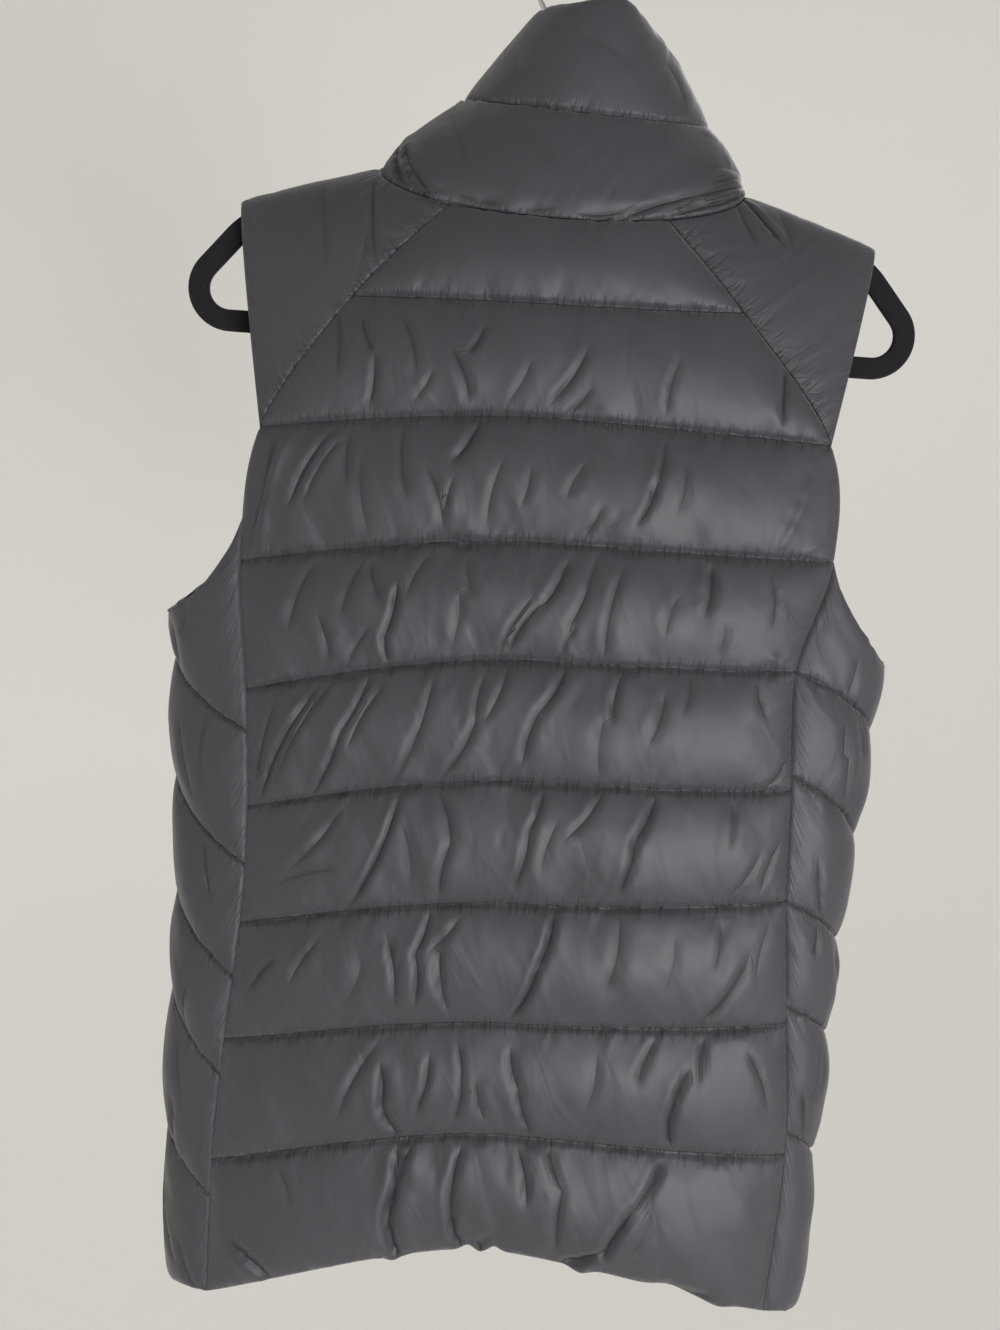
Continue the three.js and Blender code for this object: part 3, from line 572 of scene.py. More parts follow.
# x0, v0, x1, v1, depth, width of each crease of the back, from the yokes to the hem.
BACK_CREASES = [
    (125, 1.1, 121, 1.65, 1.5, 5), (109, 1.2, 100, 1.5, 1.8, 3), (100, 1.5, 102, 1.9, 2, 3),
    (85, 1.2, 75, 1.65, 1.5, 4), (56, 1.45, 44, 1.88, 2, 3.5), (38, 1.25, 46, 1.5, 1.8, 3),
    (66, 1.65, 76, 1.88, 1.2, 3), (-22, 1.4, -2, 1.9, 1.8, 3), (-25, 1.75, -11, 1.98, 1.5, 2.2),
    (-74, 1.45, -69, 1.9, 1.5, 3), (-138, 1.45, -139, 1.9, 2.4, 4), (10, 1.55, 22, 1.9, 1, 4),
    (124, 2.1, 145, 2.63, 2.4, 3), (117, 2.15, 136, 2.6, 1.6, 2.4), (112, 2.1, 111, 2.5, 2, 7),
    (81, 2.1, 76, 2.63, 1.5, 5), (66, 2.4, 54, 2.88, 1.7, 4), (37, 2.05, 51, 2.37, 2.4, 5),
    (50, 2.5, 53, 2.76, 1.6, 2.2), (104, 2.3, 97, 2.9, 1.2, 6), (22, 2.36, 29, 2.86, 1, 3.4),
    (6, 2.42, 10, 2.72, 1.2, 2.8), (-25, 2.35, -16, 2.62, 1.2, 3.4), (-70, 2.12, -66, 2.5, 1.8, 3),
    (-67, 2.45, -57, 2.82, 2.2, 2.6), (-82, 2.3, -80, 2.68, 1.2, 4), (-157, 2.2, -141, 2.95, -1.8, 4),
    (-174, 2.7, -158, 2.95, -1.6, 3.4), (-36, 2.7, -28, 2.92, 1.3, 2.6), (146, 2.02, 163, 2.98, -4, 6),
    (158, 2.1, 170, 2.9, 2, 6), (-140, 3.85, -156, 3.99, -2, 3),
    (130, 3.1, 141, 3.58, 1.8, 6), (99, 3.1, 110, 3.5, 1.6, 6), (124, 3.5, 116, 3.88, 1.7, 3),
    (93, 3.65, 106, 3.98, 1.7, 2.6), (78, 3.3, 84, 3.75, 2.6, 3), (84, 3.7, 81, 3.97, 2.2, 2.6),
    (95, 3.12, 88, 3.42, 2.2, 7), (62, 3.1, 73, 3.45, 1.1, 4), (39, 3.12, 34, 3.43, 1.4, 6),
    (42, 3.4, 44, 3.88, 1.1, 4), (-1, 3.45, 16, 3.95, 1.9, 3), (-20, 3.12, -6, 3.55, 2.2, 4),
    (-6, 3.5, 11, 3.95, 2.4, 3.4), (-52, 3.15, -45, 3.95, 1.6, 3.6), (-35, 3.12, -21, 3.75, 1.6, 4),
    (-27, 3.68, -20, 3.97, 1.5, 2.4), (-103, 3.08, -101, 3.52, 2.2, 4), (-138, 3.1, -142, 3.6, 1.6, 3),
    (-84, 3.38, -79, 3.72, 1.1, 4), (-113, 3.58, -111, 3.88, 1.1, 4),
    (123, 4.08, 156, 4.98, 2.8, 3.2), (114, 4.05, 145, 4.8, 1.6, 2.6), (148, 4.15, 157, 4.8, 2, 3),
    (92, 4.05, 108, 4.5, 2, 3), (106, 4.45, 122, 4.98, 2.2, 3.4), (84, 4.15, 101, 4.6, 1.6, 3),
    (53, 4.05, 73, 4.98, 1.7, 4), (24, 4.12, 27, 4.5, 1.6, 3), (26, 4.45, 44, 4.97, 2, 4.2),
    (10, 4.02, 22, 4.5, 1.4, 3), (-24, 4.02, -10, 4.4, 2.2, 3.6), (-11, 4.35, -2, 4.85, 2, 4),
    (-57, 4.02, -52, 4.45, 1.7, 3), (-47, 4.42, -48, 4.92, 1.5, 7), (-82, 4.2, -74, 4.65, 1.7, 5),
    (-136, 4.08, -143, 4.38, 2, 5), (-160, 4.72, -146, 5.0, 2.4, 3), (-96, 4.05, -94, 4.35, 1.2, 4),
    (103, 5.12, 133, 5.58, 1.6, 3.2), (69, 5.05, 95, 5.98, 2.6, 2.8), (46, 5.05, 36, 5.5, 1.9, 5),
    (36, 5.45, 41, 5.92, 1.9, 4), (138, 5.68, 104, 5.62, 2.2, 8), (-16, 5.03, -8, 5.4, 2, 3),
    (-9, 5.35, -3, 5.85, 2, 3.2), (-51, 5.03, -31, 5.42, 1.6, 3), (-82, 5.05, -70, 5.45, 2.4, 4),
    (-71, 5.4, -65, 5.88, 2.4, 3.6), (-25, 5.3, -18, 5.7, 1.2, 4), (-128, 5.08, -128, 5.5, 1.4, 3),
    (-160, 5.45, -151, 5.88, 2, 3), (-147, 5.55, -131, 5.93, 1.4, 3), (66, 5.3, 58, 5.8, 1.1, 6),
    (71, 6.2, 63, 6.78, 2.2, 3.2), (46, 6.05, 54, 6.4, 2.2, 3), (53, 6.35, 51, 6.8, 2.2, 3),
    (28, 6.1, 44, 6.35, 1.4, 3), (38, 6.3, 31, 6.88, 1.8, 4), (112, 6.2, 127, 6.52, 1.7, 3),
    (138, 6.32, 153, 6.56, 2.2, 3), (84, 6.4, 92, 6.75, 1.6, 8), (-28, 6.03, -20, 6.5, 3, 3.2),
    (-21, 6.45, -7, 6.96, 3, 3), (-67, 6.08, -61, 6.7, 1.4, 5), (-147, 6.38, -121, 6.96, 2.3, 4),
    (-128, 6.12, -126, 6.52, 1.7, 4), (-159, 6.15, -152, 6.55, 1.3, 5), (-100, 6.2, -96, 6.7, 1.1, 6),
    (69, 7.3, 67, 7.7, 3, 4), (67, 7.65, 54, 8.0, 3.4, 4), (40, 7.25, 46, 7.78, 2.2, 3),
    (72, 7.12, 93, 7.72, 1.7, 4.4), (24, 7.15, 20, 7.5, 1.9, 3), (20, 7.45, 22, 7.85, 1.9, 3),
    (11, 7.45, 4, 7.85, 1.7, 4), (-8, 7.2, -15, 7.55, 2.2, 4), (-14, 7.5, -25, 7.96, 2.2, 4),
    (-116, 7.3, -107, 7.7, 3.2, 4), (-107, 7.65, -110, 7.96, 3, 4), (-125, 7.03, -124, 7.42, 2.2, 4),
    (-152, 7.18, -168, 7.62, 2, 3.2), (-94, 7.08, -85, 7.45, 1.7, 4), (-60, 7.2, -56, 7.7, 1.2, 6),
    (56, 8.08, 58, 8.5, 4, 4.6), (58, 8.4, 53, 9.0, 4.6, 4.8), (47, 8.05, 54, 8.3, 2, 3),
    (17, 8.08, 20, 8.6, 2.7, 3.6), (20, 8.55, 13, 9.0, 3, 3.6), (-17, 8.08, -25, 8.45, 2.2, 4),
    (-35, 8.03, -46, 8.35, 2.2, 4), (-46, 8.3, -47, 8.8, 2, 4), (-106, 8.04, -90, 8.42, 3.4, 4),
    (-91, 8.38, -76, 8.8, 3.8, 4.2), (-77, 8.75, -52, 9.02, 3.8, 4.2), (-102, 8.3, -92, 8.75, 2, 11),
    (160, 8.55, 136, 9.0, 2.7, 4), (2, 8.85, 0, 9.02, 2.6, 3), (-150, 8.92, -112, 9.05, 2.2, 5),
    (78, 8.5, 66, 8.98, -1.6, 8), (130, 8.1, 120, 8.35, 1.2, 5),
]
HEM_NOTCHES = [(53, -3, 5), (8, 3, 4), (0, -2, 4), (-8, 3, 4), (-62, -3.5, 7), (-118, 3, 12), (-150, -3, 10)]


def wavy_hem(mid, v, last, notches):
    near = ease((v - last + 0.6) / 0.6)
    for x, rise, width in notches:
        mid[..., 2] += near * rise * MM * np.exp(-((mid[..., 0] - x * MM) / (width * MM)) ** 2)
    return mid


def fix(piece, node, material, body="vest"):
    """Gives a piece its finish, and puts it on its body in place of its solid."""
    piece.data.materials.append(material)
    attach(piece, body)
    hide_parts(node)
    return piece


def sew_on(piece, node):
    fix(piece, node, shell)


v, u = np.meshgrid(panel_rows(0.02, LINES, 16), np.linspace(-1, 1, 93), indexing="ij")
mid = wavy_hem(body_point(*back_place(u, v), 1.0), v, LINES, HEM_NOTCHES)
distance = (1 - np.abs(u)) * back_read("reach", u, v)
back, back_lines = padded_panel("back", mid, v, distance, 1, BACK_CREASES, 11, hem=LINES)
sew_on(back, "back_panel")
quilt_lines = list(back_lines)

# Fronts: the left and right halves before, padded and quilted like the back but on level lines, each
# sewn to its half of the zip, its yoke and its side panel.
FRONT_LINES = {
    "mid": [-204, -246, -300, -365, -436, -507, -578, -649, -720, -812],
    "rise": [26, 12, 9, 20, 6, 4, 2, 0, -8, -29],
    "reach": [80, 128, 166, 176, 181, 178, 175, 175, 176, 174],
}
ZIP_SLOT = 7 * MM


def front_place(hand, u, v):
    """x and z on a front: u runs from the zip (0) to the side (1)."""
    x = mix(ZIP_SLOT, column(FRONT_LINES["reach"], v) * MM, u)
    bend = u ** BOW
    z = (column(FRONT_LINES["mid"], v) + column(FRONT_LINES["rise"], v) * bend) * MM
    top_row = (FRONT_LINES["mid"][0] + FRONT_LINES["rise"][0] * bend) * MM
    neck_x = mix(ZIP_SLOT, FRONT_LINES["reach"][0] * MM, u)
    return hand * x, z + np.maximum(1 - v, 0) ** 2 * (neck_height(neck_x, -1) - top_row)


def scattered(seed, first, last, half, every, lean=12):
    """Creases like the back's for a side that isn't seen: uneven in place, length, depth and width."""
    draw = np.random.default_rng(seed).uniform
    found = []
    for line in range(int(first), int(last)):
        for _ in range(max(1, int(2 * half / every))):
            x, top, length = draw(-half, half), draw(0.04, 0.6), draw(0.25, 0.6)
            if draw() < 0.35:
                top = 1 - length
            foot = min(top + length, 0.98)
            slant = draw(-0.4, 1.0) * lean * (foot - top) / 0.5
            found.append((x, line + top, x + slant, line + foot, draw(1.1, 2.5), draw(2.6, 5.5)))
    return found


for name, hand in (("left", 1), ("right", -1)):
    v, u = np.meshgrid(panel_rows(0.02, LINES, 15), np.linspace(0, 1, 41), indexing="ij")
    mid = body_point(*front_place(hand, u, v), -1.0)
    distance = np.minimum(u, 1 - u) * (column(FRONT_LINES["reach"], v) * MM - ZIP_SLOT)
    creases = scattered(40 + hand, 1, LINES, 78, 26, lean=-10)
    piece, lines = padded_panel("front_" + name + "_panel", mid, v, distance, -hand, creases, 30 + hand,
                                lean=-0.05, hem=LINES)
    sew_on(piece, "front_" + name)
    quilt_lines += lines

# Side panels: a padded strip under each arm, quilted on slanting lines that fall towards the wearer's
# right, so that it stands out in full scallops. Its upper edge is the bottom of the armhole.
UNDERARM_DIP, UNDERARM_ROUND, SIDE_WIDTH = 66 * MM, 0.7, 90 * MM
SIDE_LINES = {
    "left": {"back": [2.68, 4.35, 5.5, 6.47, 7.3, 8.26, 9], "front": [3, 3.55, 4.35, 5.3, 6.1, 7.4, 9]},
    "right": {"back": [3, 4, 4.86, 6, 6.87, 7.84, 9], "front": [3, 4.7, 5.7, 6.5, 7.3, 8.2, 9]},
}


def turn_at(x, z):
    return np.arcsin(np.minimum(np.abs(x) / half_width(x, z), 1) ** (SECTION_POWER / 2))


def side_point(hand, lines, u, v):
    """A point round the side of the tube, from the back's edge (u = 0) to the front's (u = 1)."""
    back_x, back_z = back_place(hand + 0 * u, column(lines["back"], v))
    front_x, front_z = front_place(hand, 1 + 0 * u, column(lines["front"], v))
    dip = UNDERARM_DIP * np.maximum(1 - v, 0) ** 1.5 * np.sin(math.pi * u) ** UNDERARM_ROUND
    z = mix(back_z, front_z, u) - dip
    angle = mix(turn_at(back_x, back_z), math.pi - turn_at(front_x, front_z), u)
    x = hand * half_width(hand, z) * np.sin(angle) ** (2 / SECTION_POWER)
    cosine = np.cos(angle)
    y = np.sign(cosine) * depth_at(z, np.sign(cosine)) * np.abs(cosine) ** (2 / SECTION_POWER) * opened(x, z)
    return np.stack([x, y, z], -1)


for name, hand in (("left", 1), ("right", -1)):
    v, u = np.meshgrid(panel_rows(0, 6, 20), np.linspace(0, 1, 29), indexing="ij")
    mid = side_point(hand, SIDE_LINES[name], u, v)
    distance = np.minimum(u, 1 - u) * SIDE_WIDTH
    creases = scattered(60 + hand, 0, 6, 46, 20, lean=-14 * hand)
    piece, lines = padded_panel("side_" + name + "_panel", mid, v, distance, hand, creases, 50 + hand,
                                lean=0.0, full=(1.07, 1.09))
    sew_on(piece, "side_" + name)
    quilt_lines += lines

# Yokes: smooth, thinly wadded shoulder pieces without quilting, from the back's slanting seam over the
# shoulder to the front's. The hanger's arms bear on their undersides.
YOKE_LENGTH, YOKE_DROP, YOKE_HALF = 90 * MM, 120 * MM, 2.4 * MM
YOKE_CREASES = {
    "left": [(-40, 0.55, -22, 0.98, 1.6, 4), (-36, 0.75, -14, 0.95, 1.2, 3), (-8, 0.3, 6, 0.85, 0.8, 5),
             (-38, -0.6, -20, -0.95, 1.6, 4), (10, -0.4, 2, -0.9, 1, 6)],
    "right": [(-44, 0.42, -8, 0.62, 3.0, 2.6), (-44, 0.62, -22, 0.75, 1.6, 3), (-20, 0.3, 0, 0.6, 0.8, 5),
              (-36, -0.5, -16, -0.95, 1.6, 4), (6, -0.3, 0, -0.8, 1, 6)],
}


def yoke_point(hand, q, w):
    """A point from the neck (q = 0) to the armhole (q = 1), and front seam (w = -1) to back seam (w = 1)."""
    side = np.where(w < 0, -1.0, 1.0)
    share = w * w

    def straight(at):
        ridge_x = mix(NECK["half"], SHOULDER["tip"], at)
        back_x, back_z = back_place(hand * (1 + 0 * at), 2 * at)
        front_x, front_z = front_place(hand, 1 + 0 * at, 2 * at)
        seam_x = np.abs(np.where(side > 0, back_x, front_x))
        seam_z = np.where(side > 0, back_z, front_z)
        return mix(ridge_x, seam_x, share), mix(ridge_height(ridge_x), seam_z, share), seam_x

    x, z, _ = straight(q)
    x0, z0, seam_x0 = straight(0 * q)
    c = share * np.sqrt(1 - (seam_x0 / NECK["half"]) ** 2)
    neck_x = NECK["half"] * np.sqrt(1 - c * c)
    neck_z = neck_at(c, side)
    fade = (1 - q) ** 2
    return body_point(hand * (x + fade * (neck_x - x0)), z + fade * (neck_z - z0), side)


for name, hand in (("left", 1), ("right", -1)):
    w, q = np.meshgrid(np.linspace(-1, 1, 81), np.linspace(0.01, 1, 35), indexing="ij")
    mid = yoke_point(hand, q, w)
    distance = np.minimum(np.minimum(q, 1 - q) * YOKE_LENGTH, (1 - np.abs(w)) * YOKE_DROP)
    piece, _ = padded_panel("yoke_" + name + "_panel", mid, w, distance, hand,
                            YOKE_CREASES[name], 70 + hand,
                            puff=(YOKE_HALF - SEAM_HALF + 1.2 * MM, YOKE_HALF - SEAM_HALF), lean=0.0,
                            full=(1.0, 1.005), quilted=False, soft=0.35)
    sew_on(piece, "yoke_" + name)

# Collar: a tall funnel of two padded channels, zipped shut before, that leans forwards and narrows to its
# top. Sewn on round the neck, where it folds over the left shoulder and bunches at the right.
COLLAR_LIFT, COLLAR_BASE_SLIT = 0.4 * MM, 0.048
COLLAR_PUFF = (6 * MM, 4.5 * MM)
COLLAR_RINGS = [
    {"x": -10, "y": -28, "half_x": 86, "half_y": 47, "back": -91, "side": -101, "front": -130, "slit": 0.089},
    {"x": -13, "y": -54, "half_x": 41, "half_y": 68, "back": -32, "side": -38, "front": -58, "slit": 0.18},
]
COLLAR_CREASES = [
    (74, 0.02, 101, 0.36, 2.8, 4), (90, 0.06, 104, 0.16, 1.4, 3),
    (-122, 0.14, -76, 0.25, 3.2, 4), (-78, 0.25, -38, 0.05, 2.8, 4), (-120, 0.05, -62, 0.03, 2.4, 3),
    (-120, 0.24, -84, 0.36, 2.2, 4), (-112, 0.38, -78, 0.5, 1.4, 5), (-96, 0.1, -60, 0.12, 1.8, 3),
    (112, 0.34, 96, 0.05, 2.2, 3), (104, 0.2, 92, 0.02, 1.6, 3), (60, 0.12, 34, 0.1, 1.2, 5),
    (-10, 0.08, -40, 0.14, 1.6, 5), (20, 0.07, 4, 0.12, 1.2, 4), (-60, 1.15, -44, 1.5, 1.0, 6),
    (40, 1.2, 60, 1.7, 1.0, 7), (-70, 1.62, -42, 1.82, 3.0, 4), (10, 0.5, 40, 0.8, 0.8, 8),
    (60, 0.4, 80, 0.75, 1.0, 7), (-20, 1.4, 10, 1.6, 0.8, 8),
]
COLLAR_FOLD, COLLAR_OVERHANG, FOLD_EDGE = (75, -0.04, 106, 0.40), 6.5 * MM, 3.6 * MM


def collar_point(s, v):
    """s runs from one edge of the zip slot round the back (0) to the other, v from neck (0) to top (2)."""
    lower, upper = COLLAR_RINGS
    slit = np.where(v < 1, mix(COLLAR_BASE_SLIT, lower["slit"], v), mix(lower["slit"], upper["slit"], v - 1))
    angle = s * (math.pi - slit)
    cosine = np.cos(angle)
    side = np.where(cosine < 0, -1.0, 1.0)
    c = cosine * cosine
    base_x = NECK["half"] * np.sqrt(1 - c * c) * np.sign(np.sin(angle))
    base = body_point(base_x, neck_at(c, side), side)
    base[..., 2] += COLLAR_LIFT
    rings = [base] + [np.stack([
        ring["x"] + ring["half_x"] * np.sin(angle), ring["y"] + ring["half_y"] * cosine,
        mix(ring["side"], np.where(side > 0, ring["back"], ring["front"]), c)], -1) * MM
        for ring in COLLAR_RINGS]
    low, between, high = rings
    lift = (16 * np.sin(angle) ** 2 + 3 * np.sin(angle) - 4 * np.maximum(cosine, 0)) * MM
    between[..., 2] += lift
    between[..., 0] -= 0.75 * lift * np.sin(angle)
    t = (v % 1.0 + (v >= 2))[..., None]
    first = (v < 1)[..., None]
    point = smooth_between(low, np.where(first, low, between), np.where(first, between, high), high, t)
    x = point[..., 0] / MM
    rise = 5 * np.exp(-((x - 20) / 14) ** 2) + 6 * np.exp(-((x + 26) / 15) ** 2)
    point[..., 2] += rise * MM * np.maximum(v - 1.4, 0) / 0.6 * (side > 0)
    return point


v, s = np.meshgrid(panel_rows(0, 2, 18), np.linspace(-1, 1, 121), indexing="ij")
mid = collar_point(s, v)
along = np.cumsum(np.linalg.norm(np.diff(mid, axis=1, prepend=mid[:, :1]), axis=-1), 1)
along -= along[:, [60]]
x0, v0, x1, v1 = COLLAR_FOLD
past_fold = mix(x0 * MM, x1 * MM, (v - v0) / (v1 - v0)) - along
below = ease(0.5 - past_fold / FOLD_EDGE)
lip = (1 - below) * np.exp(-np.maximum(past_fold, 0) / (14 * MM)) * ease((v1 + 0.1 - v) / 0.3)
tuck = COLLAR_OVERHANG * (lip * ease(along / (x0 * MM)) - 0.35 * below * ease((v1 - v) / 0.25)
                           * ease((160 * MM - along) / (30 * MM)))
collar, lines = padded_panel("collar_panel", mid, v, (1 - np.abs(s)) * 0.2, -1, COLLAR_CREASES, 90,
                             puff=COLLAR_PUFF, lean=0.0, full=(1.04, 1.05), soft=0.7, tuck=tuck)
sew_on(collar, "collar")
quilt_lines += lines

# Zip tapes: two woven strips of dark tape, one sewn under each front's edge and the collar's, with the
# zip's teeth along their meeting edges.
ZIP_GAP, ZIP_EDGE, TAPE_HALF = 0.12 * MM, 6.9 * MM, 0.35 * MM


def zip_point(v):
    """Middle of the zip at row v: from the hem (0) up the fronts' lines to the neck (9), then the collar."""
    low = body_point(0 * v, column(FRONT_LINES["mid"], LINES - np.minimum(v, LINES)) * MM, -1.0)
    up = np.maximum(v - LINES, 0)
    high = 0.5 * (collar_point(1 + 0 * v, up) + collar_point(-1 + 0 * v, up))
    return np.where((v <= LINES)[..., None], low, high)


zip_rows = np.concatenate([np.linspace(0, LINES, 150), np.linspace(LINES, LINES + 2, 41)[1:]])
tape_cloth, nodes, shader = new_material("dark zip tape", {"Roughness": 0.8})
ribs = add_node(nodes, "ShaderNodeTexWave", {"wave_type": "BANDS", "bands_direction": "Z", "Scale": 300})
bump = add_node(nodes, "ShaderNodeBump", {"Strength": 0.6, "Distance": 0.0003})
tone = two_tones(nodes, (0.009, 0.009, 0.01), (0.016, 0.016, 0.018))
link(nodes.new("ShaderNodeTexCoord"), "Object", ribs, "Vector")
link(ribs, "Fac", bump, "Height")
link(ribs, "Fac", tone, "Fac")
link(tone, "Color", shader, "Base Color")
link(bump, "Normal", shader, "Normal")

for name, hand in (("left", 1), ("right", -1)):
    across = np.linspace(ZIP_GAP, ZIP_EDGE, 5)
    middle = zip_point(zip_rows)[:, None, :] + np.stack([hand * across, 0 * across, 0 * across], -1)[None]
    out = normals_of(middle, hand)
    up = out * TAPE_HALF
    rows, columns = middle.shape[:2]
    front, rear = middle + up, middle - up
    rim, rear_rim = border(rows, columns), border(rows, columns, rows * columns)
    edge = np.stack([rim, rear_rim, np.roll(rear_rim, -1), np.roll(rim, -1)], -1)
    faces = (quads(rows, columns, hand < 0).tolist()
             + (quads(rows, columns, hand > 0) + rows * columns).tolist()
             + (edge if hand > 0 else edge[:, ::-1]).tolist())
    mesh = bpy.data.meshes.new("tape_" + name)
    mesh.from_pydata(np.concatenate([front.reshape(-1, 3), rear.reshape(-1, 3)]).tolist(), [], faces)
    tape = add_object("tape_" + name, mesh, smooth=False)
    fix(tape, "zip_tape_" + name, tape_cloth)

# Zip teeth: moulded teeth that mesh along the middle of the two tapes, one in turn from each side.
TOOTH_PITCH, TOOTH = 1.7 * MM, (2.9 * MM, 1.5 * MM, 1.05 * MM)


def repeat_along(name, paths, build):
    """Plain mesh of a small shape set along paths by a node tree that `build` fills in."""
    source = bpy.data.meshes.new(name)
    points, edges = [], []
    for path in paths:
        first = len(points)
        points += [tuple(point) for point in path]
        edges += [(first + k, first + k + 1) for k in range(len(path) - 1)]
    source.from_pydata(points, edges, [])
    guide = add_object(name + "_guide", source)
    tree, sizes, material = build()
    modifier = guide.modifiers.new("along", "NODES")
    modifier.node_group = tree
    for item in tree.interface.items_tree:
        if item.item_type == "SOCKET" and item.in_out == "INPUT" and item.name in sizes:
            modifier[item.identifier] = sizes[item.name]
    made = bpy.data.meshes.new_from_object(guide.evaluated_get(bpy.context.evaluated_depsgraph_get()))
    guide.modifiers.remove(modifier)
    bpy.data.objects.remove(guide)
    made.materials.clear()
    made.materials.append(material)
    return add_object(name, made)


def path_tree(name, material, shape, inputs):
    """A node tree that lays `shape` along the curve at an even pitch. Its inputs are named sizes."""
    tree = bpy.data.node_groups.new(name, "GeometryNodeTree")
    tree.interface.new_socket("Geometry", in_out="INPUT", socket_type="NodeSocketGeometry")
    for socket_name in inputs:
        tree.interface.new_socket(socket_name, in_out="INPUT", socket_type="NodeSocketFloat")
    tree.interface.new_socket("Geometry", in_out="OUTPUT", socket_type="NodeSocketGeometry")
    nodes, links = tree.nodes, tree.links
    entry, leave = nodes.new("NodeGroupInput"), nodes.new("NodeGroupOutput")
    curve = nodes.new("GeometryNodeMeshToCurve")
    spaced = add_node(nodes, "GeometryNodeResampleCurve", {"mode": "LENGTH"})
    turned = add_node(nodes, "FunctionNodeAlignRotationToVector", {"axis": "Z"})
    placed = nodes.new("GeometryNodeInstanceOnPoints")
    plain = nodes.new("GeometryNodeRealizeInstances")
    coated = add_node(nodes, "GeometryNodeSetMaterial", {"Material": material})
    link(entry, "Geometry", curve, "Mesh")
    link(curve, "Curve", spaced, "Curve")
    link(entry, "Pitch", spaced, "Length")
    link(nodes.new("GeometryNodeInputTangent"), "Tangent", turned, "Vector")
    link(spaced, "Curve", placed, "Points")
    link(turned, "Rotation", placed, "Rotation")
    links.new(shape(nodes, entry), placed.inputs["Instance"])
    link(placed, "Instances", plain, "Geometry")
    link(plain, "Geometry", coated, "Geometry")
    link(coated, "Geometry", leave, "Geometry")
    return tree


def grained(name, colour, roughness, metallic, scale, depth):
    """A hard finish with a fine grain in its colour, gloss and surface."""
    made, nodes, shader = new_material(name, {"Metallic": metallic})
    grain = add_node(nodes, "ShaderNodeTexNoise", {"Scale": scale, "Detail": 3})
    tone = two_tones(nodes, [c * 0.8 for c in colour], [c * 1.2 for c in colour])
    gloss = add_node(nodes, "ShaderNodeMapRange", {"To Min": roughness * 0.8, "To Max": roughness * 1.2})
    bump = add_node(nodes, "ShaderNodeBump", {"Strength": 0.5, "Distance": depth})
    link(nodes.new("ShaderNodeTexCoord"), "Object", grain, "Vector")
    for after, entry in ((tone, "Fac"), (gloss, "Value"), (bump, "Height")):
        link(grain, "Fac", after, entry)
    link(tone, "Color", shader, "Base Color")
    link(gloss, "Result", shader, "Roughness")
    link(bump, "Normal", shader, "Normal")
    return made


gunmetal = grained("dark gunmetal", (0.06, 0.06, 0.065), 0.32, 1.0, 900, 0.00008)


def sized(nodes, entry, names, target, socket):
    """Puts three of the tree's named sizes together as one input of a node."""
    size = nodes.new("ShaderNodeCombineXYZ")
    for axis, name in enumerate(names):
        link(entry, name, size, axis)
    link(size, 0, target, socket)


def tooth_shape(nodes, entry):
    block = nodes.new("GeometryNodeMeshCube")
    sized(nodes, entry, ("Width", "Depth", "Height"), block, "Size")
    return block.outputs["Mesh"]


tooth_rows = np.concatenate([np.linspace(0.03, LINES, 240), np.linspace(LINES, LINES + 1.97, 60)[1:]])
tooth_path = zip_point(tooth_rows) + np.array([0, -TAPE_HALF - 0.2 * MM, 0])
teeth = repeat_along("zip_teeth", [tooth_path - np.array([0.55 * MM, 0, 0]),
                                   tooth_path[2:] + np.array([0.55 * MM, 0, 0])], lambda: (
    path_tree("teeth along the zip", gunmetal, tooth_shape, ("Pitch", "Width", "Depth", "Height")),
    {"Pitch": 2 * TOOTH_PITCH, "Width": TOOTH[0], "Depth": TOOTH[1], "Height": TOOTH[2]}, gunmetal))
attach(teeth, "vest")

# Zip slider and its pull: small plated castings. The slider grips both rows of teeth high on the collar,
# and the pull hangs from its bail, free to swing.


def softened(name, node, width, body, segments=2):
    """A copy of a cast piece's solid with its edges rounded, on its body."""
    copy = bmesh.new()
    copy.from_mesh(bpy.data.objects[node].data)
    bmesh.ops.remove_doubles(copy, verts=copy.verts, dist=1e-6)
    bmesh.ops.dissolve_limit(copy, angle_limit=math.radians(2), verts=copy.verts, edges=copy.edges)
    sharp = [e for e in copy.edges if len(e.link_faces) == 2 and e.calc_face_angle() > math.radians(25)]
    bmesh.ops.bevel(copy, geom=sharp, offset=width, segments=segments, profile=0.5, affect="EDGES",
                    clamp_overlap=True)
    bmesh.ops.triangulate(copy, faces=copy.faces)
    mesh = bpy.data.meshes.new(name)
    copy.to_mesh(mesh)
    copy.free()
    fix(add_object(name, mesh), node, gunmetal, body)


softened("slider_casting", "zip_slider", 0.22 * MM, "vest")
softened("pull_casting", "zip_pull", 0.25 * MM, "pull")

# Hanger: a flat moulded strip bent into one loop, flocked all over with short black nap, and a bright
# steel hook set in the block over its crest.
HANGER = {"strip": 13 * MM, "thick": 5.2 * MM, "tip": 184 * MM, "corner": 236 * MM, "bar": -225.5 * MM,
          "tip_round": 46 * MM, "corner_round": 19 * MM, "crest_round": 60 * MM}
HANGER_REST, ARM_FALL = 0.25 * MM, 0.24
HOOK = {"wire": 3.4 * MM, "radius": 20 * MM, "neck_top": -86 * MM, "neck_width": 16 * MM, "gap": 0.3 * MM}


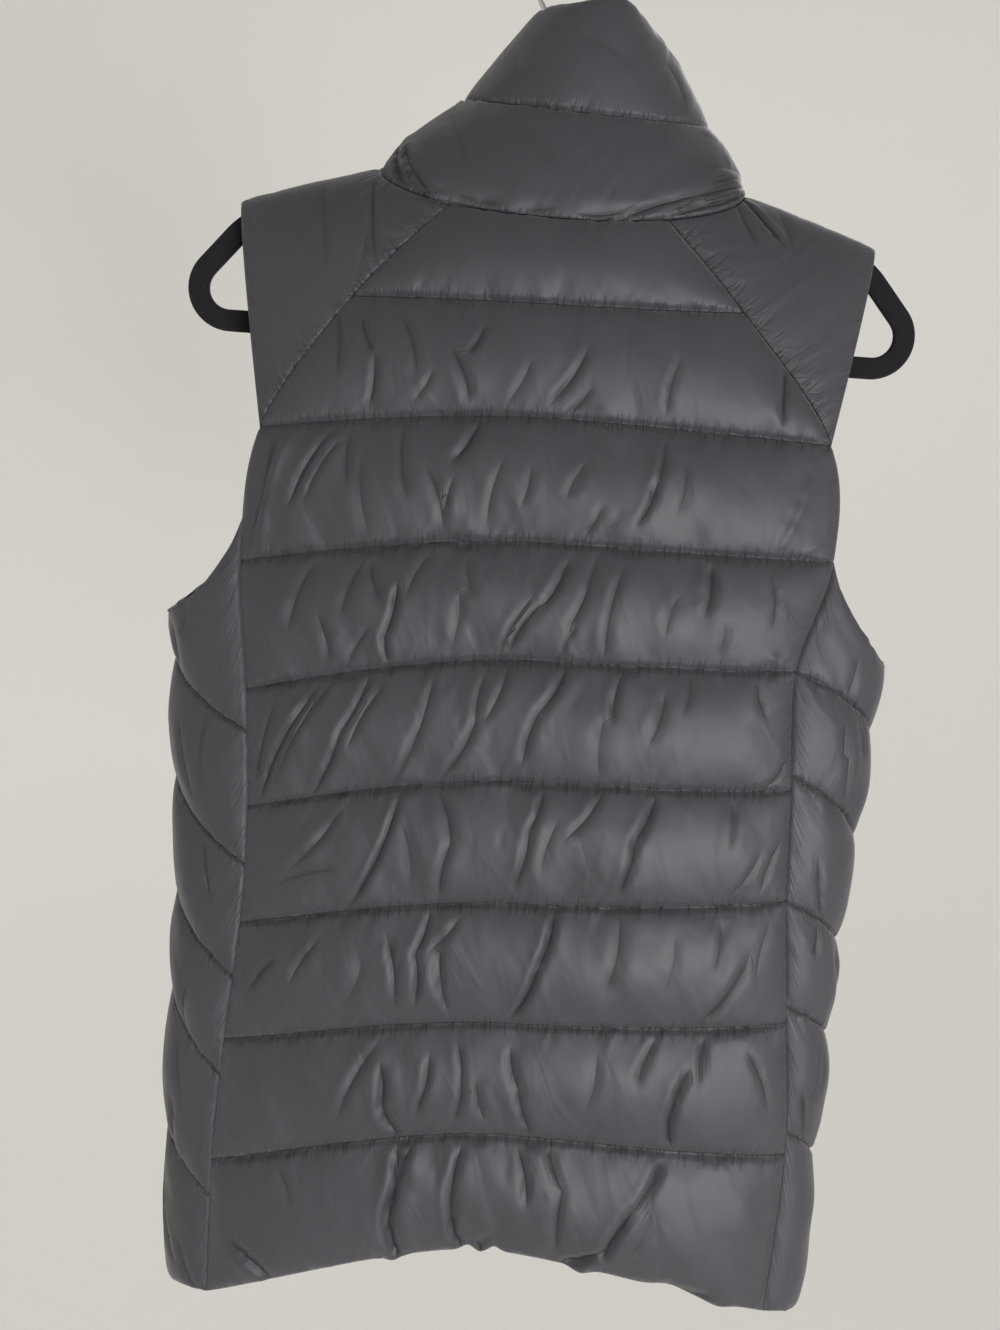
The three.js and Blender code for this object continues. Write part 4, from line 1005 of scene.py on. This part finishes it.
def swept(path, section, closed):
    """A solid of this section, in the path's own plane (x and z) and across it (y)."""
    path, section = np.asarray(path, float), np.asarray(section, float)
    before, after = np.roll(path, 1, 0), np.roll(path, -1, 0)
    if not closed:
        before[0], after[-1] = path[0], path[-1]
    tangent = after - before
    tangent /= np.linalg.norm(tangent, axis=1, keepdims=True)
    normal = np.stack([tangent[:, 2], 0 * tangent[:, 0], -tangent[:, 0]], -1)
    across = np.array([0, 1.0, 0])
    points = path[:, None] + normal[:, None] * section[None, :, :1] + across * section[None, :, 1:]
    count, sides = points.shape[:2]
    i = np.arange(count * sides).reshape(count, sides)
    following = np.roll(i, -1, 0)[:count if closed else -1]
    here = i[:count if closed else -1]
    faces = np.stack([here, np.roll(here, -1, 1), np.roll(following, -1, 1), following], -1)
    faces = faces.reshape(-1, 4).tolist()
    if not closed:
        faces += [i[0, ::-1].tolist(), i[-1].tolist()]
    return points.reshape(-1, 3), faces


def rounded_loop(corners, steps):
    """The outline of a polygon whose corners are rounded, each by its own radius."""
    points = []
    for k, (x, z, radius) in enumerate(corners):
        here = np.array([x, z])
        ways = []
        for other in (corners[k - 1], corners[(k + 1) % len(corners)]):
            way = np.array(other[:2]) - here
            ways.append(way / np.linalg.norm(way))
        half = math.acos(np.clip(ways[0] @ ways[1], -1, 1)) / 2
        bisector = (ways[0] + ways[1]) / np.linalg.norm(ways[0] + ways[1])
        centre = here + bisector * radius / math.sin(half)
        start, end = (here + way * radius / math.tan(half) - centre for way in ways)
        a = math.atan2(start[1], start[0])
        turn = math.remainder(math.atan2(end[1], end[0]) - a, 2 * math.pi)
        points += [(centre[0] + radius * math.cos(at), 0, centre[1] + radius * math.sin(at))
                   for at in np.linspace(a, a + turn, steps)]
    return points


def rounded_section(half_wide, half_deep, round_wide, round_deep):
    """A rectangle round its middle, with quarter ellipses for corners."""
    points = []
    for wide, deep, quarter in ((1, 1, 0), (-1, 1, 1), (-1, -1, 2), (1, -1, 3)):
        for a in [math.pi / 2 * (quarter + t / 4) for t in range(5)]:
            points.append((wide * (half_wide - round_wide) + round_wide * math.cos(a),
                           deep * (half_deep - round_deep) + round_deep * math.sin(a)))
    return points


flock, nodes, shader = new_material("black flock", {
    "Roughness": 0.95, "Specular IOR Level": 0.15, "Sheen Weight": 0.35, "Sheen Roughness": 0.3})
place = nodes.new("ShaderNodeTexCoord")
nap = add_node(nodes, "ShaderNodeTexNoise", {"Scale": 1500, "Detail": 2})
dust = add_node(nodes, "ShaderNodeTexVoronoi", {"Scale": 130})
speck = add_node(nodes, "ShaderNodeMath", {"operation": "LESS_THAN"})
speck.inputs[1].default_value = 0.045
tone = add_node(nodes, "ShaderNodeMix", {"data_type": "RGBA"})
tone.inputs[6].default_value, tone.inputs[7].default_value = (0.015, 0.0155, 0.018, 1), (0.12, 0.12, 0.12, 1)
bump = add_node(nodes, "ShaderNodeBump", {"Strength": 0.7, "Distance": 0.0004})
link(place, "Object", nap, "Vector")
link(place, "Object", dust, "Vector")
link(dust, "Distance", speck, 0)
link(speck, 0, tone, 0)
link(tone, 2, shader, "Base Color")
link(nap, "Fac", bump, "Height")
link(bump, "Normal", shader, "Normal")

arm_drop = YOKE_HALF + HANGER_REST + HANGER["strip"] / 2
tip_height = ridge_height(HANGER["tip"]) - arm_drop * math.hypot(1, ARM_FALL)
crest_height = tip_height + ARM_FALL * HANGER["tip"]
loop = rounded_loop([
    (0, crest_height, HANGER["crest_round"]), (HANGER["tip"], tip_height, HANGER["tip_round"]),
    (HANGER["corner"], HANGER["bar"], HANGER["corner_round"]),
    (-HANGER["corner"], HANGER["bar"], HANGER["corner_round"]),
    (-HANGER["tip"], tip_height, HANGER["tip_round"]),
], 22)
half_strip, half_thick, soft_edge = HANGER["strip"] / 2, HANGER["thick"] / 2, 1.9 * MM
points, faces = swept(loop, rounded_section(half_strip, half_thick, soft_edge, soft_edge), True)
neck_bottom, neck_rise = crest_height - half_strip, HOOK["neck_top"] - crest_height + half_strip
outline = rounded_section(HOOK["neck_width"] / 2, half_thick, 3 * MM, 1.5 * MM)
foot = neck_bottom + 4 * MM
levels = [(0, 1.7), (0.12, 1.25), (0.3, 1.04), (0.5, 1.0), (0.9, 1.0), (0.97, 0.96), (1.0, 0.85)]
first = len(points)
points = np.concatenate([points, [(x * wide, y, foot + (neck_rise - 4 * MM) * t)
                                  for t, wide in levels for x, y in outline]])
sides = len(outline)
for k in range(len(levels) - 1):
    faces += [[first + k * sides + j, first + k * sides + (j + 1) % sides,
               first + (k + 1) * sides + (j + 1) % sides, first + (k + 1) * sides + j] for j in range(sides)]
faces += [list(range(first + sides - 1, first - 1, -1)), list(range(len(points) - sides, len(points)))]
mesh = bpy.data.meshes.new("hanger_strip")
mesh.from_pydata(points.tolist(), [], faces)
fix(add_object("hanger_strip", mesh), "hanger_body", flock)

steel = grained("bright steel", (0.62, 0.63, 0.64), 0.16, 1.0, 700, 0.00003)
reach, centre = HOOK["radius"] + HOOK["wire"] / 2, -HOOK["radius"]
knots = [(0, HOOK["neck_top"] + HOOK["gap"]), (0, centre - reach - 22 * MM),
         (-5 * MM, centre - reach - 4 * MM), (-15 * MM, centre - reach + 6 * MM)]
knots += [(reach * math.cos(a), centre + reach * math.sin(a)) for a in math.pi * np.linspace(1.08, -0.22, 15)]
at = np.linspace(0, len(knots) - 1, 150)
wire_path = np.stack([column([k[0] for k in knots], at), 0 * at, column([k[1] for k in knots], at)], -1)
circle = [(HOOK["wire"] / 2 * math.cos(a), HOOK["wire"] / 2 * math.sin(a))
          for a in np.linspace(0, 2 * math.pi, 16, endpoint=False)]
points, faces = swept(wire_path, circle, False)
mesh = bpy.data.meshes.new("hook_wire")
mesh.from_pydata(points.tolist(), [], faces)
fix(add_object("hook_wire", mesh), "hanger_hook", steel)

# Quilting stitches: black thread in short even stitches, sunk in the bottom of every quilt line.
STITCH = {"Pitch": 3.2 * MM, "Length": 2.5 * MM, "Thickness": 0.28 * MM}
thread, nodes, shader = new_material("black thread", {"Roughness": 0.7})
twist = add_node(nodes, "ShaderNodeTexNoise", {"Scale": 2500})
tone = two_tones(nodes, (0.006, 0.006, 0.007), (0.02, 0.02, 0.022))
link(nodes.new("ShaderNodeTexCoord"), "Object", twist, "Vector")
link(twist, "Fac", tone, "Fac")
link(tone, "Color", shader, "Base Color")


def stitch_shape(nodes, entry):
    bead = add_node(nodes, "GeometryNodeMeshUVSphere", {"Segments": 5, "Rings": 4, "Radius": 0.5})
    shaped = nodes.new("GeometryNodeTransform")
    sized(nodes, entry, ("Thickness", "Thickness", "Length"), shaped, "Scale")
    link(bead, "Mesh", shaped, "Geometry")
    return shaped.outputs["Geometry"]


stitches = repeat_along("quilting_stitches", quilt_lines, lambda: (
    path_tree("stitches along the quilting", thread, stitch_shape, ("Pitch", "Length", "Thickness")),
    STITCH, thread))
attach(stitches, "vest")
